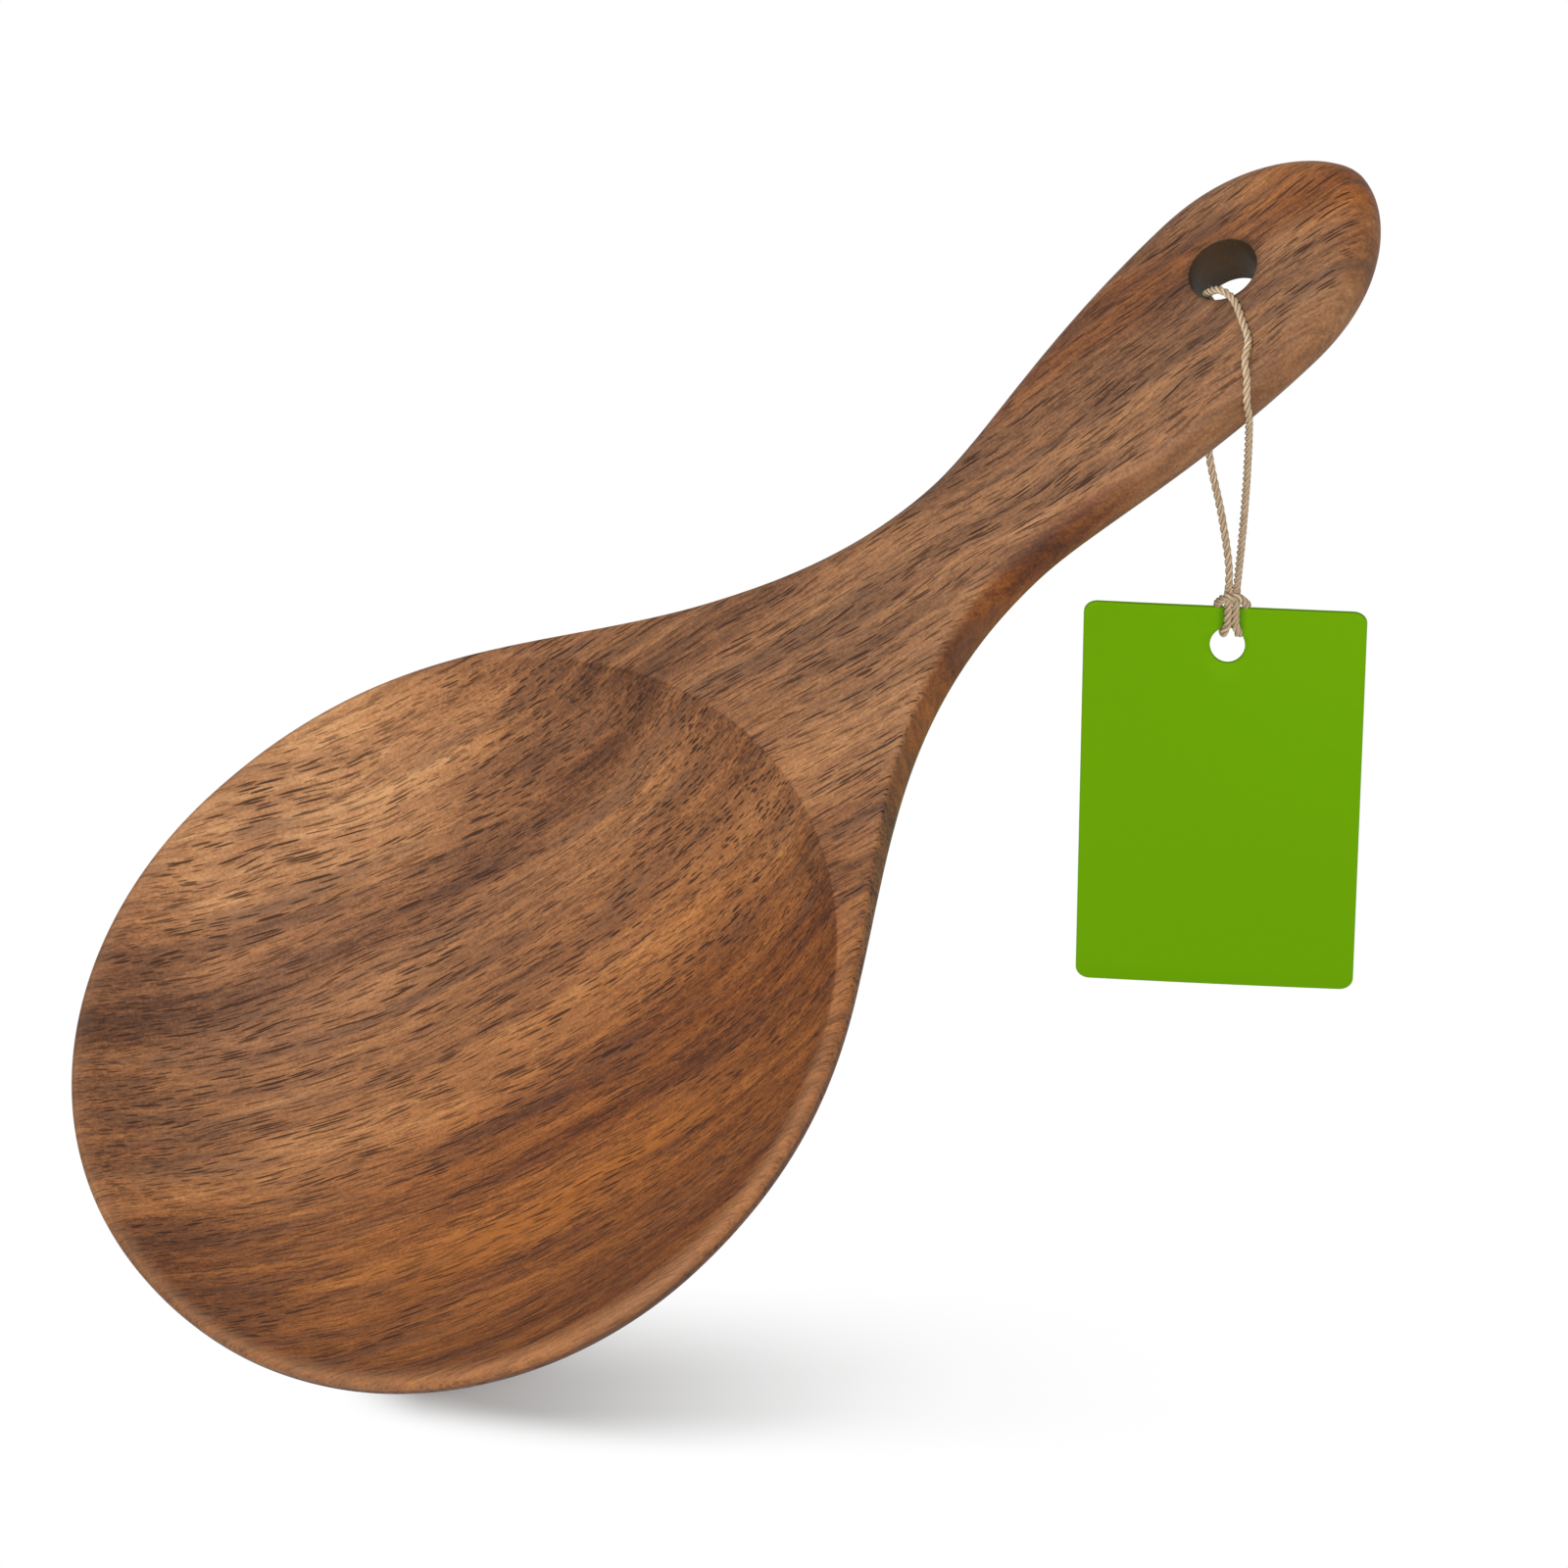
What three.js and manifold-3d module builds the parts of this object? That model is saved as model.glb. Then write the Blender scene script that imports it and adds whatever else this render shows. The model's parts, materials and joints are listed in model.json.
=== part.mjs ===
// A carved wooden serving spoon with a round bowl, held by its handle,
// and the card tag that hangs from the hole in that handle on a loop of twine.
import * as THREE from 'three';
import { mergeVertices } from 'three/addons/utils/BufferGeometryUtils.js';
import Module from 'manifold-3d';

const wasm = await Module();
wasm.setup();

// Driving dimensions, in millimetres and degrees

// Spoon, seen from the front, with lengths counted from the bowl's tip
const spoonLength = 210;
const bowlWidestAt = 49.8;
const bowlWidth = 108.5;
const neckAt = 142.5;
const neckWidth = 22;
const gripWidestAt = 190;
const gripWidth = 30.8;

// How far each stretch of the outline keeps the direction that it starts or ends with
const tipReach = 32.8;
const bowlReach = 26.2;
const shoulderReach = 45;
const neckReach = 42.6;
const gripStartReach = 10.4;
const gripSwellReach = 21;
const endReach = 14.2;
const endRoundReach = 3;

// Spoon, seen from the side
const handleRaise = 27.4;
const handleThickness = 8.2;
const bowlDepth = 17;
const bowlDeepestAt = 52;
const backFairedAt = 132;
const rimThickness = 2.4;
const rimRound = 0.9;
const gripFrontRound = 3.2;
const gripBackRound = 5;
const neckBlendStart = 88;

// Hollow of the bowl
const hollowAt = 53;
const hollowLength = 98;
const hollowWidth = 102;
const hollowDepth = 11.5;
const hollowFlatness = 3;

// Hanging hole, which is drilled a little to one side
const holeAt = 188;
const holeAside = 1.4;
const holeDiameter = 9.4;
const holeRimRound = 0.8;

// Where a hand holds the spoon, which is the model's origin
const gripAt = 165;

// Twine, with the clearance where it lies on something and where it swings from something
const twineDiameter = 1;
const seatGap = 0.3;
const swingGap = 0.4;
const knotDiameter = 2.6;
const knotLength = 3.4;

// Where the twine leaves the handle: over its edge, and out of the hole at the back
const edgeBefore = 11.6;
const edgeHangBelow = 0.16;
const backHangOut = 0.35;
const backHangAside = 0.4;
const backHangBelow = 1.3;

// Bridle: the two strands that hang between the handle and the tag
const bridleDrop = 34.7;
const bridleShare = 0.39;
const frontStrandBow = 0.5;
const backStrandBow = 2.3;

// Tag
const tagWidth = 36.2;
const tagHeight = 61.5;
const tagThickness = 0.6;
const tagCorner = 1.8;
const tagHoleDiameter = 4.6;
const tagHoleFromTop = 6.2;
const tagFacing = -39.5;

// Hitch: how far over the tag's top edge the twine bends, and where the strands begin above that
const hitchBendOver = 0.7;
const hitchLead = 0.6;
const hitchSpread = 0.4;

// Facets
const outlineSteps = [18, 24, 12, 14];
const endStationShare = 0.3;
const edgeSteps = 4;
const backSteps = 7;
const hollowSides = 48;
const hollowSteps = 10;
const holeSides = 24;
const twineSides = 8;
const holeTurnSteps = 28;
const hitchSteps = 60;
const strandSteps = 12;
const knotSides = 12;
const tagCornerSteps = 6;
const leastFlat = 0.4;
const cutterReach = 3;

const wood = () => new THREE.MeshStandardMaterial({ color: 0x8a5a35, roughness: 0.5, metalness: 0 });
const jute = () => new THREE.MeshStandardMaterial({ color: 0xb59a76, roughness: 0.9, metalness: 0 });
const card = () => new THREE.MeshStandardMaterial({ color: 0x6da407, roughness: 0.6, metalness: 0 });

// Solids

function toSolid(geometry) {
  const bare = geometry.clone();
  bare.deleteAttribute('normal');
  bare.deleteAttribute('uv');
  const merged = mergeVertices(bare);
  const mesh = new wasm.Mesh({
    numProp: 3,
    vertProperties: new Float32Array(merged.attributes.position.array),
    triVerts: new Uint32Array(merged.index.array),
  });
  return new wasm.Manifold(mesh);
}

function toGeometry(solid) {
  const mesh = solid.getMesh();
  const geometry = new THREE.BufferGeometry();
  geometry.setAttribute('position', new THREE.BufferAttribute(mesh.vertProperties, 3));
  geometry.setIndex(new THREE.BufferAttribute(mesh.triVerts, 1));
  geometry.computeVertexNormals();
  return geometry;
}

// Joins rings of equal length into one closed skin, with a fan over each end
function loft(rings) {
  const count = rings[0].length;
  const centre = (ring) => ring.reduce((sum, p) => sum.add(p), new THREE.Vector3()).divideScalar(count);
  const last = rings.length - 1;
  const points = [...rings.flat(), centre(rings[0]), centre(rings[last])];
  const firstCentre = rings.length * count;
  const index = [];
  for (let j = 0; j < count; j++) {
    const k = (j + 1) % count;
    for (let i = 0; i < last; i++) {
      const a = i * count + j;
      const b = i * count + k;
      const c = (i + 1) * count + k;
      const d = (i + 1) * count + j;
      index.push(a, d, b, b, d, c);
    }
    index.push(firstCentre, j, k);
    index.push(firstCentre + 1, last * count + k, last * count + j);
  }
  const geometry = new THREE.BufferGeometry().setFromPoints(points);
  geometry.setIndex(index);
  return geometry;
}

// Spoon

const ease = (x, from, to) => THREE.MathUtils.smoothstep(x, from, to);
const mix = THREE.MathUtils.lerp;

// Half of the spoon's outline, as lengths from the tip and distances from the middle
const bowlHalf = bowlWidth / 2;
const neckHalf = neckWidth / 2;
const gripHalf = gripWidth / 2;
const at = (along, aside) => new THREE.Vector2(along, aside);
const outline = [
  [at(0, 0), at(0, tipReach), at(bowlWidestAt - bowlReach, bowlHalf), at(bowlWidestAt, bowlHalf)],
  [
    at(bowlWidestAt, bowlHalf),
    at(bowlWidestAt + shoulderReach, bowlHalf),
    at(neckAt - neckReach, neckHalf),
    at(neckAt, neckHalf),
  ],
  [
    at(neckAt, neckHalf),
    at(neckAt + gripStartReach, neckHalf),
    at(gripWidestAt - gripSwellReach, gripHalf),
    at(gripWidestAt, gripHalf),
  ],
  [
    at(gripWidestAt, gripHalf),
    at(gripWidestAt + endReach, gripHalf),
    at(spoonLength, endRoundReach),
    at(spoonLength, 0),
  ],
].map((points) => new THREE.CubicBezierCurve(...points));

// The stations of the loft: every outline point but the two ends, where the width is nought
const stations = outline.flatMap((curve, i) => curve.getPoints(outlineSteps[i]).slice(1)).slice(0, -1);
stations.unshift(outline[0].getPoint(endStationShare / outlineSteps[0]));
stations.push(outline[3].getPoint(1 - endStationShare / outlineSteps[3]));
stations.sort((p, q) => p.x - q.x);

function halfWidthAt(along) {
  const next = stations.findIndex((p) => p.x >= along);
  const [p, q] = [stations[next - 1], stations[next]];
  return mix(p.y, q.y, (along - p.x) / (q.x - p.x));
}

// How far a rounded end has fallen below the face, a given way before the end
function endFall(before, round) {
  const rest = Math.max(0, round - before);
  return round - Math.sqrt(round * round - rest * rest);
}

// How far the back lies below the front face
function backDepthAt(along) {
  if (along < bowlDeepestAt) {
    const before = (bowlDeepestAt - along) / bowlDeepestAt;
    return rimThickness + (bowlDepth - rimThickness) * Math.sqrt(1 - before * before);
  }
  return mix(bowlDepth, handleThickness, ease(along, bowlDeepestAt, backFairedAt));
}

// One cross-section, from the top of its left edge round the back to the top of its right edge
function section({ x: along, y: half }) {
  const handle = ease(along, neckBlendStart, backFairedAt);
  const toEnd = spoonLength - along;
  const fall = Math.max(endFall(toEnd, gripFrontRound), endFall(along, rimRound));
  const rise = endFall(toEnd, gripBackRound / 2);
  const back = backDepthAt(along) - rise;
  const side = mix(rimThickness, handleThickness / 2, handle) + leastFlat / 2;
  const front = Math.min(mix(rimRound, gripFrontRound, handle), half / 2);
  const turn = Math.min(mix(half, gripBackRound, handle), half - leastFlat);
  const edge = [];
  for (let i = 0; i < edgeSteps; i++) {
    const angle = (Math.PI / 2) * (i / (edgeSteps - 1));
    const top = fall + (Math.max(front, fall) - fall) * (1 - Math.cos(angle));
    edge.push([half - front * (1 - Math.sin(angle)), -top]);
  }
  for (let i = 0; i < backSteps; i++) {
    const angle = (Math.PI / 2) * (i / (backSteps - 1));
    edge.push([half - turn * (1 - Math.cos(angle)), -side - (back - side) * Math.sin(angle)]);
  }
  const left = edge.map(([aside, above]) => new THREE.Vector3(along, aside, above));
  const right = edge.map(([aside, above]) => new THREE.Vector3(along, -aside, above));
  return [...left, ...right.reverse()];
}

// The dish that is carved out of the bowl: a steep wall that flattens towards the middle
function hollowCutter() {
  const profile = [];
  for (let i = 0; i <= hollowSteps; i++) {
    const out = i / hollowSteps;
    profile.push(new THREE.Vector2(out, -hollowDepth * (1 - out ** hollowFlatness)));
  }
  const slope = hollowFlatness * hollowDepth;
  profile.push(new THREE.Vector2(1 + cutterReach / slope, cutterReach));
  profile.push(new THREE.Vector2(0, cutterReach));
  const dish = new THREE.LatheGeometry(profile, hollowSides);
  dish.rotateX(Math.PI / 2);
  dish.scale(hollowLength / 2, hollowWidth / 2, 1);
  dish.translate(hollowAt, 0, 0);
  return toSolid(dish);
}

// The hanging hole, opened out at both faces
function holeCutter() {
  const bore = holeDiameter / 2;
  const mouth = bore + holeRimRound + cutterReach;
  const profile = [
    new THREE.Vector2(0, -handleThickness - cutterReach),
    new THREE.Vector2(mouth, -handleThickness - cutterReach),
    new THREE.Vector2(bore, -handleThickness + holeRimRound),
    new THREE.Vector2(bore, -holeRimRound),
    new THREE.Vector2(mouth, cutterReach),
    new THREE.Vector2(0, cutterReach),
  ];
  const drill = new THREE.LatheGeometry(profile, holeSides);
  drill.rotateX(Math.PI / 2);
  drill.translate(holeAt, holeAside, 0);
  return toSolid(drill);
}

function spoonGeometry() {
  const blank = toSolid(loft(stations.map(section)));
  return toGeometry(blank.subtract(hollowCutter()).subtract(holeCutter()));
}

// The spoon is held with its handle raised, so its own lengths are turned about the grip
const raise = THREE.MathUtils.degToRad(handleRaise);
const gripMiddle = new THREE.Vector3(gripAt, 0, -handleThickness / 2);
const upright = new THREE.Vector3(0, 1, 0);

function onSpoon(along, aside, above) {
  return new THREE.Vector3(along, aside, above).sub(gripMiddle).applyAxisAngle(upright, -raise);
}

const spoon = new THREE.Mesh(spoonGeometry().translate(...gripMiddle.clone().negate()), wood());
spoon.name = 'wooden_spoon';
spoon.rotation.y = -raise;

// Twine

const twineRadius = twineDiameter / 2;
const twineLift = twineRadius + seatGap;

function twine(name, points, steps) {
  const shape = new THREE.Shape();
  for (let i = 0; i < twineSides; i++) {
    const angle = (2 * Math.PI * i) / twineSides;
    const point = [twineRadius * Math.cos(angle), twineRadius * Math.sin(angle)];
    if (i === 0) shape.moveTo(...point);
    else shape.lineTo(...point);
  }
  const path = new THREE.CatmullRomCurve3(points, false, 'centripetal');
  const tube = new THREE.ExtrudeGeometry(shape, { steps, extrudePath: path, curveSegments: 1 });
  const mesh = new THREE.Mesh(tube, jute());
  mesh.name = name;
  return mesh;
}

// The turn through the hole: over the handle's edge, across its face, in at the front and out at the back.
// The first stretch counts from where the twine crosses the edge, and the second from the hole's middle.
const bore = holeDiameter / 2;
const edgeAt = holeAt - edgeBefore;
const pastEdge = ([along, inwards, above]) =>
  onSpoon(edgeAt + along, inwards - halfWidthAt(edgeAt + along), above);
const fromHole = ([along, aside, above]) => onSpoon(holeAt + along, holeAside + aside, above);
const edgeRoute = [
  [0.2, -twineLift, -handleThickness / 2],
  [0.9, 0.25 - twineLift, -1.8],
  [2.2, 1.05, 0.1],
  [4.2, 3.5, twineLift],
];
const holeRoute = [
  [-4.9, -10.5, twineLift],
  [-3.5, -7.3, twineLift + 0.1],
  [-3.1, -5, twineLift + 0.2],
  [-3, -3.3, 0.5],
  [-3.2, -1.9, -1.5],
  [-3.65, -0.9, -handleThickness / 2],
  [-3.8, -0.5, 1.7 - handleThickness],
  [0.72 - bore, -backHangAside, 0.2 - handleThickness],
  [-0.15 - bore, -backHangAside, -0.85 - handleThickness],
];
const holeTurnPoints = [...edgeRoute.map(pastEdge), ...holeRoute.map(fromHole)];
const holeTurn = twine('twine_hole_turn', holeTurnPoints, holeTurnSteps);

// The two points that the bridle hangs from
const frontSupport = pastEdge([0, -twineLift, -handleThickness / 2 - edgeHangBelow]);
const backSupport = fromHole([-bore - backHangOut, -backHangAside, -handleThickness - backHangBelow]);

// Tag and hitch, in the tag's own frame: x across, y up and z to the front, from the middle of its hole

const tagTop = tagHoleFromTop;
const frontLay = tagThickness / 2 + twineLift;
const strandAside = twineRadius + seatGap / 2;
const overTop = tagTop + twineLift;
const bendAbove = overTop + hitchBendOver;
const hitchEnd = bendAbove + hitchLead;

const tagPivot = new THREE.Vector3(0, bendAbove, frontLay);
const down = new THREE.Vector3(0, 0, -1);
const bridleMiddle = frontSupport.clone().lerp(backSupport, bridleShare);
const tagHangs = bridleMiddle.clone().addScaledVector(down, bridleDrop);

// The tag leans until its middle is plumb under the strands, which lie on its front
const tagMiddleDrop = bendAbove + tagHeight / 2 - tagHoleFromTop;
const tagLean = Math.atan(frontLay / tagMiddleDrop);
const tagTurn = new THREE.Matrix4()
  .makeRotationZ(THREE.MathUtils.degToRad(tagFacing))
  .multiply(new THREE.Matrix4().makeRotationX(Math.PI / 2 - tagLean));

const tagAssembly = new THREE.Group();
tagAssembly.quaternion.setFromRotationMatrix(tagTurn);
tagAssembly.position.copy(tagHangs).sub(tagPivot.clone().applyMatrix4(tagTurn));
const onTag = (x, y, z) => new THREE.Vector3(x, y, z).applyMatrix4(tagTurn).add(tagAssembly.position);

function tagGeometry() {
  const [left, right] = [-tagWidth / 2, tagWidth / 2];
  const low = tagTop - tagHeight;
  const corner = tagCorner;
  const shape = new THREE.Shape();
  shape.moveTo(left + corner, low);
  shape.lineTo(right - corner, low);
  shape.absarc(right - corner, low + corner, corner, -Math.PI / 2, 0);
  shape.lineTo(right, tagTop - corner);
  shape.absarc(right - corner, tagTop - corner, corner, 0, Math.PI / 2);
  shape.lineTo(left + corner, tagTop);
  shape.absarc(left + corner, tagTop - corner, corner, Math.PI / 2, Math.PI);
  shape.lineTo(left, low + corner);
  shape.absarc(left + corner, low + corner, corner, Math.PI, 1.5 * Math.PI);
  const hole = new THREE.Path();
  hole.absarc(0, 0, tagHoleDiameter / 2, 0, 2 * Math.PI, true);
  shape.holes.push(hole);
  const settings = { depth: tagThickness, bevelEnabled: false, curveSegments: tagCornerSteps };
  const sheet = new THREE.ExtrudeGeometry(shape, settings);
  return sheet.translate(0, 0, -tagThickness / 2);
}

const tag = new THREE.Mesh(tagGeometry(), card());
tag.name = 'hang_tag';

// The hitch: down the front, in at the hole, up the back, over the top and across both strands
const holeTop = tagHoleDiameter / 2 - seatGap / 2;
const wide = 3 * twineRadius + seatGap;
const bightLay = frontLay + twineDiameter + seatGap;
const quarters = [0, 0.25, 0.5, 0.75, 1];
const throughHole = (side) => quarters.map((share) => [
  side * (strandAside + hitchSpread * share),
  holeTop - frontLay * Math.sin(Math.PI * share),
  frontLay * Math.cos(Math.PI * share),
]);
const halfHitch = (side) => [
  [side * strandAside, hitchEnd, frontLay],
  [side * strandAside, tagTop - 1, frontLay],
  ...throughHole(side),
  [side * (wide - 0.2), tagTop - 1.4, -frontLay],
  [side * wide, tagTop + 0.3, -frontLay * 0.9],
  [side * wide, overTop + 0.1, 0],
  [side * wide, overTop + 0.45, frontLay],
  [side * (strandAside + 0.35), overTop + 0.55, bightLay - 0.05],
];
const hitchPoints = [
  ...halfHitch(-1),
  [0, overTop + 0.55, bightLay + 0.05],
  ...halfHitch(1).reverse(),
].map((p) => new THREE.Vector3(...p));
const hitch = twine('twine_hitch', hitchPoints, hitchSteps);
tagAssembly.add(tag, hitch);

// Bridle strands, from the handle down to the hitch

const strandEnd = (side) => onTag(side * strandAside, hitchEnd + seatGap, frontLay);
const across = new THREE.Vector3(1, 0, 0).applyMatrix4(tagTurn);
const frontTop = frontSupport.clone().addScaledVector(down, swingGap / 2);
const frontEnd = strandEnd(1);
const strandPoint = (top, end, share, bow) => top.clone().lerp(end, share).addScaledVector(across, bow);
const frontStrandPoints = [
  frontTop,
  strandPoint(frontTop, frontEnd, 0.3, frontStrandBow),
  strandPoint(frontTop, frontEnd, 0.7, frontStrandBow * 0.8),
  frontEnd,
];
const frontStrand = twine('twine_front_strand', frontStrandPoints, strandSteps);

// The loop's closing knot hides behind the handle, just under the hole
const knotHalf = knotLength / 2;
const knotTop = backSupport.clone().addScaledVector(down, swingGap / 2);
const knotMiddle = knotTop.clone().addScaledVector(down, knotHalf);
const knotShoulder = knotLength / 5;
const knotProfile = [
  new THREE.Vector2(0, -knotHalf),
  new THREE.Vector2(twineRadius, -knotHalf),
  new THREE.Vector2(knotDiameter / 2, -knotShoulder),
  new THREE.Vector2(knotDiameter / 2, knotShoulder),
  new THREE.Vector2(twineRadius, knotHalf),
  new THREE.Vector2(0, knotHalf),
];
const knot = new THREE.Mesh(new THREE.LatheGeometry(knotProfile, knotSides).rotateX(Math.PI / 2), jute());
knot.name = 'twine_knot';
knot.position.copy(knotMiddle);

const backTop = knotTop.clone().addScaledVector(down, knotLength + seatGap);
const backEnd = strandEnd(-1);
const backStrandPoints = [
  backTop,
  strandPoint(backTop, backEnd, 0.2, -backStrandBow * 0.8),
  strandPoint(backTop, backEnd, 0.45, -backStrandBow),
  strandPoint(backTop, backEnd, 0.75, -backStrandBow * 0.5),
  backEnd,
];
const backStrand = twine('twine_back_strand', backStrandPoints, strandSteps);

const assembly = new THREE.Group();
assembly.add(spoon, holeTurn, frontStrand, knot, backStrand, tagAssembly);

// Hinge lines and the flat of the handle's back, in the model's frame
assembly.userData = {
  bridleHinge: { point: bridleMiddle, axis: backSupport.clone().sub(frontSupport).normalize() },
  tagHinge: { point: tagHangs, axis: across },
  handleBack: onSpoon(gripAt, 0, -handleThickness),
  frontSupport,
  backSupport,
};

export default assembly;
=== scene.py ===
"""A carved wooden serving spoon, and the plain card tag that hangs from it on a loop of jute twine."""
import json
import math
import random

import bmesh
import bpy
import numpy as np
from mathutils import Matrix, Vector


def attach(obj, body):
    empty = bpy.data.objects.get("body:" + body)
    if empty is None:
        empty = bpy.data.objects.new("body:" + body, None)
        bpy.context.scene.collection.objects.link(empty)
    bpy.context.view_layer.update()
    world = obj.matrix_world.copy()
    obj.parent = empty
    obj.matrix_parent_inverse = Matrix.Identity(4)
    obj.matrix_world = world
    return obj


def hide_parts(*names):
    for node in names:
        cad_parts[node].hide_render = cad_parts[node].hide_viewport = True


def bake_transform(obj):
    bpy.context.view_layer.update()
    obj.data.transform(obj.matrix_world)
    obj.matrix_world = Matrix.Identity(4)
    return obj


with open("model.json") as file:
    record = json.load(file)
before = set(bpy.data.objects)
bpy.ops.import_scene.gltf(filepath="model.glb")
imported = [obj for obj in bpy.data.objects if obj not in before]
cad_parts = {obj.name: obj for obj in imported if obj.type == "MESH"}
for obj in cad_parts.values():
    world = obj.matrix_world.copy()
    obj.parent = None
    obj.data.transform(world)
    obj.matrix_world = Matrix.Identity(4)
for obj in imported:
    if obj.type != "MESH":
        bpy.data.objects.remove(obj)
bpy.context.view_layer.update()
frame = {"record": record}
scene = bpy.context.scene

# Sizes are in millimetres and degrees, and become metres where a mesh is made
MM = 0.001

# Spoon from the front, with lengths counted from the bowl's tip
SPOON_LENGTH = 209.6
BOWL_WIDEST_AT = 49.4
BOWL_WIDTH = 109.6
BOWL_ASIDE = -0.7
NECK_AT = 143.0
NECK_WIDTH = 20.5
GRIP_WIDEST_AT = 187.7
GRIP_WIDTH = 30.8
TIP_REACH = 33.7
BOWL_REACH = 25.6
SHOULDER_REACH = 45.8
NECK_REACH = 43.0
GRIP_START_REACH = 9.6
GRIP_SWELL_REACH = 22.0
END_REACH = 14.8
END_ROUND_REACH = 4.7

# Spoon from the side
HANDLE_RAISE = 27.4
HANDLE_THICKNESS = 8.8
BOWL_DEPTH = 17.0
BOWL_DEEPEST_AT = 52.0
BACK_FAIRED_AT = 132.0
NECK_BLEND_START = 88.0
TIP_RIM = 1.5
SIDE_RIM = 1.7
SIDE_RIM_FROM = 70.0
RIM_ROUND = 1.1
SHOULDER_ROUND = 0.5
BACK_FULLNESS = 0.62
GRIP_FRONT_ROUND = 3.9
GRIP_BACK_ROUND = 5.0
HANDLE_FULLNESS = 0.5
WALL_UNDER_ROUND = 0.1
LEAN_ENDS = (90.0, 140.0)
SHOULDER_SHARPENS = (66.0, 108.0)
EDGE_SOFTENS = (112.0, 144.0)

# Hollow of the bowl, with a crisp edge at the neck and an eased lip elsewhere
HOLLOW_AT = 52.0
HOLLOW_LENGTH = 101.4
HOLLOW_WIDTH = 106.6
HOLLOW_ASIDE = 0.3
HOLLOW_TIP_SQUARENESS = 2.12
HOLLOW_DEPTH = 11.5
HOLLOW_FLATNESS = 3.0
LIP_EASE = 0.9
NECK_EDGE_EASE = 0.05
NECK_EDGE_SHARPENS = (66.0, 88.0)

# Hanging hole
HOLE_AT = 188.0
HOLE_ASIDE = 1.4
HOLE_DIAMETER = 9.1
BORE = HOLE_DIAMETER / 2
HOLE_RIM_ROUND = 0.35
HOLE_LEAN_ALONG = 0.12
HOLE_LEAN_ASIDE = -0.09

# The middle of the grip is the frame's origin
GRIP_AT = 165.0
FACE_ABOVE_GRIP = 4.1

# Twine
TWINE_DIAMETER = 1.0
TWINE_PLIES = 3
TWINE_PITCH = 3.4
TWINE_STEP = 0.16
PLY_SHARE = 0.28
PLY_OFFSET_SHARE = 0.25
SEAT_GAP = 0.06
EDGE_BEFORE = 11.6
BACK_HANG_OUT = 0.35
BACK_HANG_ASIDE = 0.4
BACK_HANG_BELOW = 1.3
BACK_STRAND_BOW = 2.2
FRONT_STRAND_BOW = 0.3
KNOT_LENGTH = 3.4

# Tag
TAG_WIDTH = 36.7
TAG_HEIGHT = 61.5
TAG_THICKNESS = 0.6
TAG_CORNER = 1.8
TAG_HOLE_WIDTH = 4.6
TAG_HOLE_HEIGHT = 5.8
TAG_HOLE_FROM_TOP = 6.05
TAG_HOLE_ASIDE = 0.36
TAG_FACING = -39.5
TAG_LEAN = 1.95
TAG_EDGE_ROUND = 0.12
TAG_BOW_UP = 0.25
TAG_BOW_ACROSS = 0.12
TAG_FLAT_UNTIL = 6.0
TAG_BOWED_FROM = 26.0
HINGE_OVER_HOLE = 8.4
HINGE_BEFORE_CARD = 1.1
HINGE_ASIDE = 0.42
BIGHT_OVER_TOP = 3.0
STRANDS_MEET_OVER_TOP = 3.4
STRANDS_ASIDE = 0.45
HITCH_SWELL = 1.1
HITCH_BENDS = (2.8, 0.2)

# Camera, at the photograph's angle
CAMERA_AZIMUTH = -35.465
CAMERA_ELEVATION = 39.59
CAMERA_DISTANCE = 1500.0
CAMERA_LENS = 271.86
SENSOR_WIDTH = 36.0
AIMED_AT = 110.0
AIM_RIGHT = -0.30
AIM_UP = -11.66


# Directions of the spoon in the frame: along it, aside, and out of its front

rise = math.radians(HANDLE_RAISE)
ALONG = np.array([math.cos(rise), 0.0, math.sin(rise)])
ASIDE = np.array([0.0, 1.0, 0.0])
FRONT = np.array([-math.sin(rise), 0.0, math.cos(rise)])


def on_spoon(along, aside, above):
    """Points of the spoon, given from the bowl's tip and over its front face, in the frame."""
    along, aside, above = np.broadcast_arrays(along, aside, above)
    above_middle = above + FACE_ABOVE_GRIP
    return MM * (
        np.multiply.outer(along - GRIP_AT, ALONG)
        + np.multiply.outer(aside, ASIDE)
        + np.multiply.outer(above_middle, FRONT)
    )


def ease(x, low, high):
    t = np.clip((x - low) / (high - low), 0.0, 1.0)
    return t * t * (3 - 2 * t)


def mix(a, b, share):
    return a + (b - a) * share


def put(name, data):
    """Puts a mesh, a camera or a lamp in the scene."""
    piece = bpy.data.objects.new(name, data)
    scene.collection.objects.link(piece)
    return piece


# Camera


def make_camera():
    azimuth = math.radians(CAMERA_AZIMUTH)
    elevation = math.radians(CAMERA_ELEVATION)
    level = math.cos(elevation)
    back = Vector((math.sin(azimuth) * level, -math.cos(azimuth) * level, math.sin(elevation)))
    right = Vector((0, 0, 1)).cross(back).normalized()
    up = back.cross(right)
    aim = Vector(on_spoon(AIMED_AT, 0.0, 0.0))
    data = bpy.data.cameras.new("camera")
    data.sensor_width = SENSOR_WIDTH
    data.lens = CAMERA_LENS
    camera = put("camera", data)
    camera.rotation_euler = Matrix((right, up, back)).transposed().to_euler()
    camera.location = aim + MM * (back * CAMERA_DISTANCE + right * AIM_RIGHT + up * AIM_UP)
    scene.camera = camera


make_camera()


# Meshes


def add_mesh(name, vertices, faces):
    mesh = bpy.data.meshes.new(name)
    mesh.from_pydata(vertices, [], faces)
    return put(name, mesh)


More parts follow.
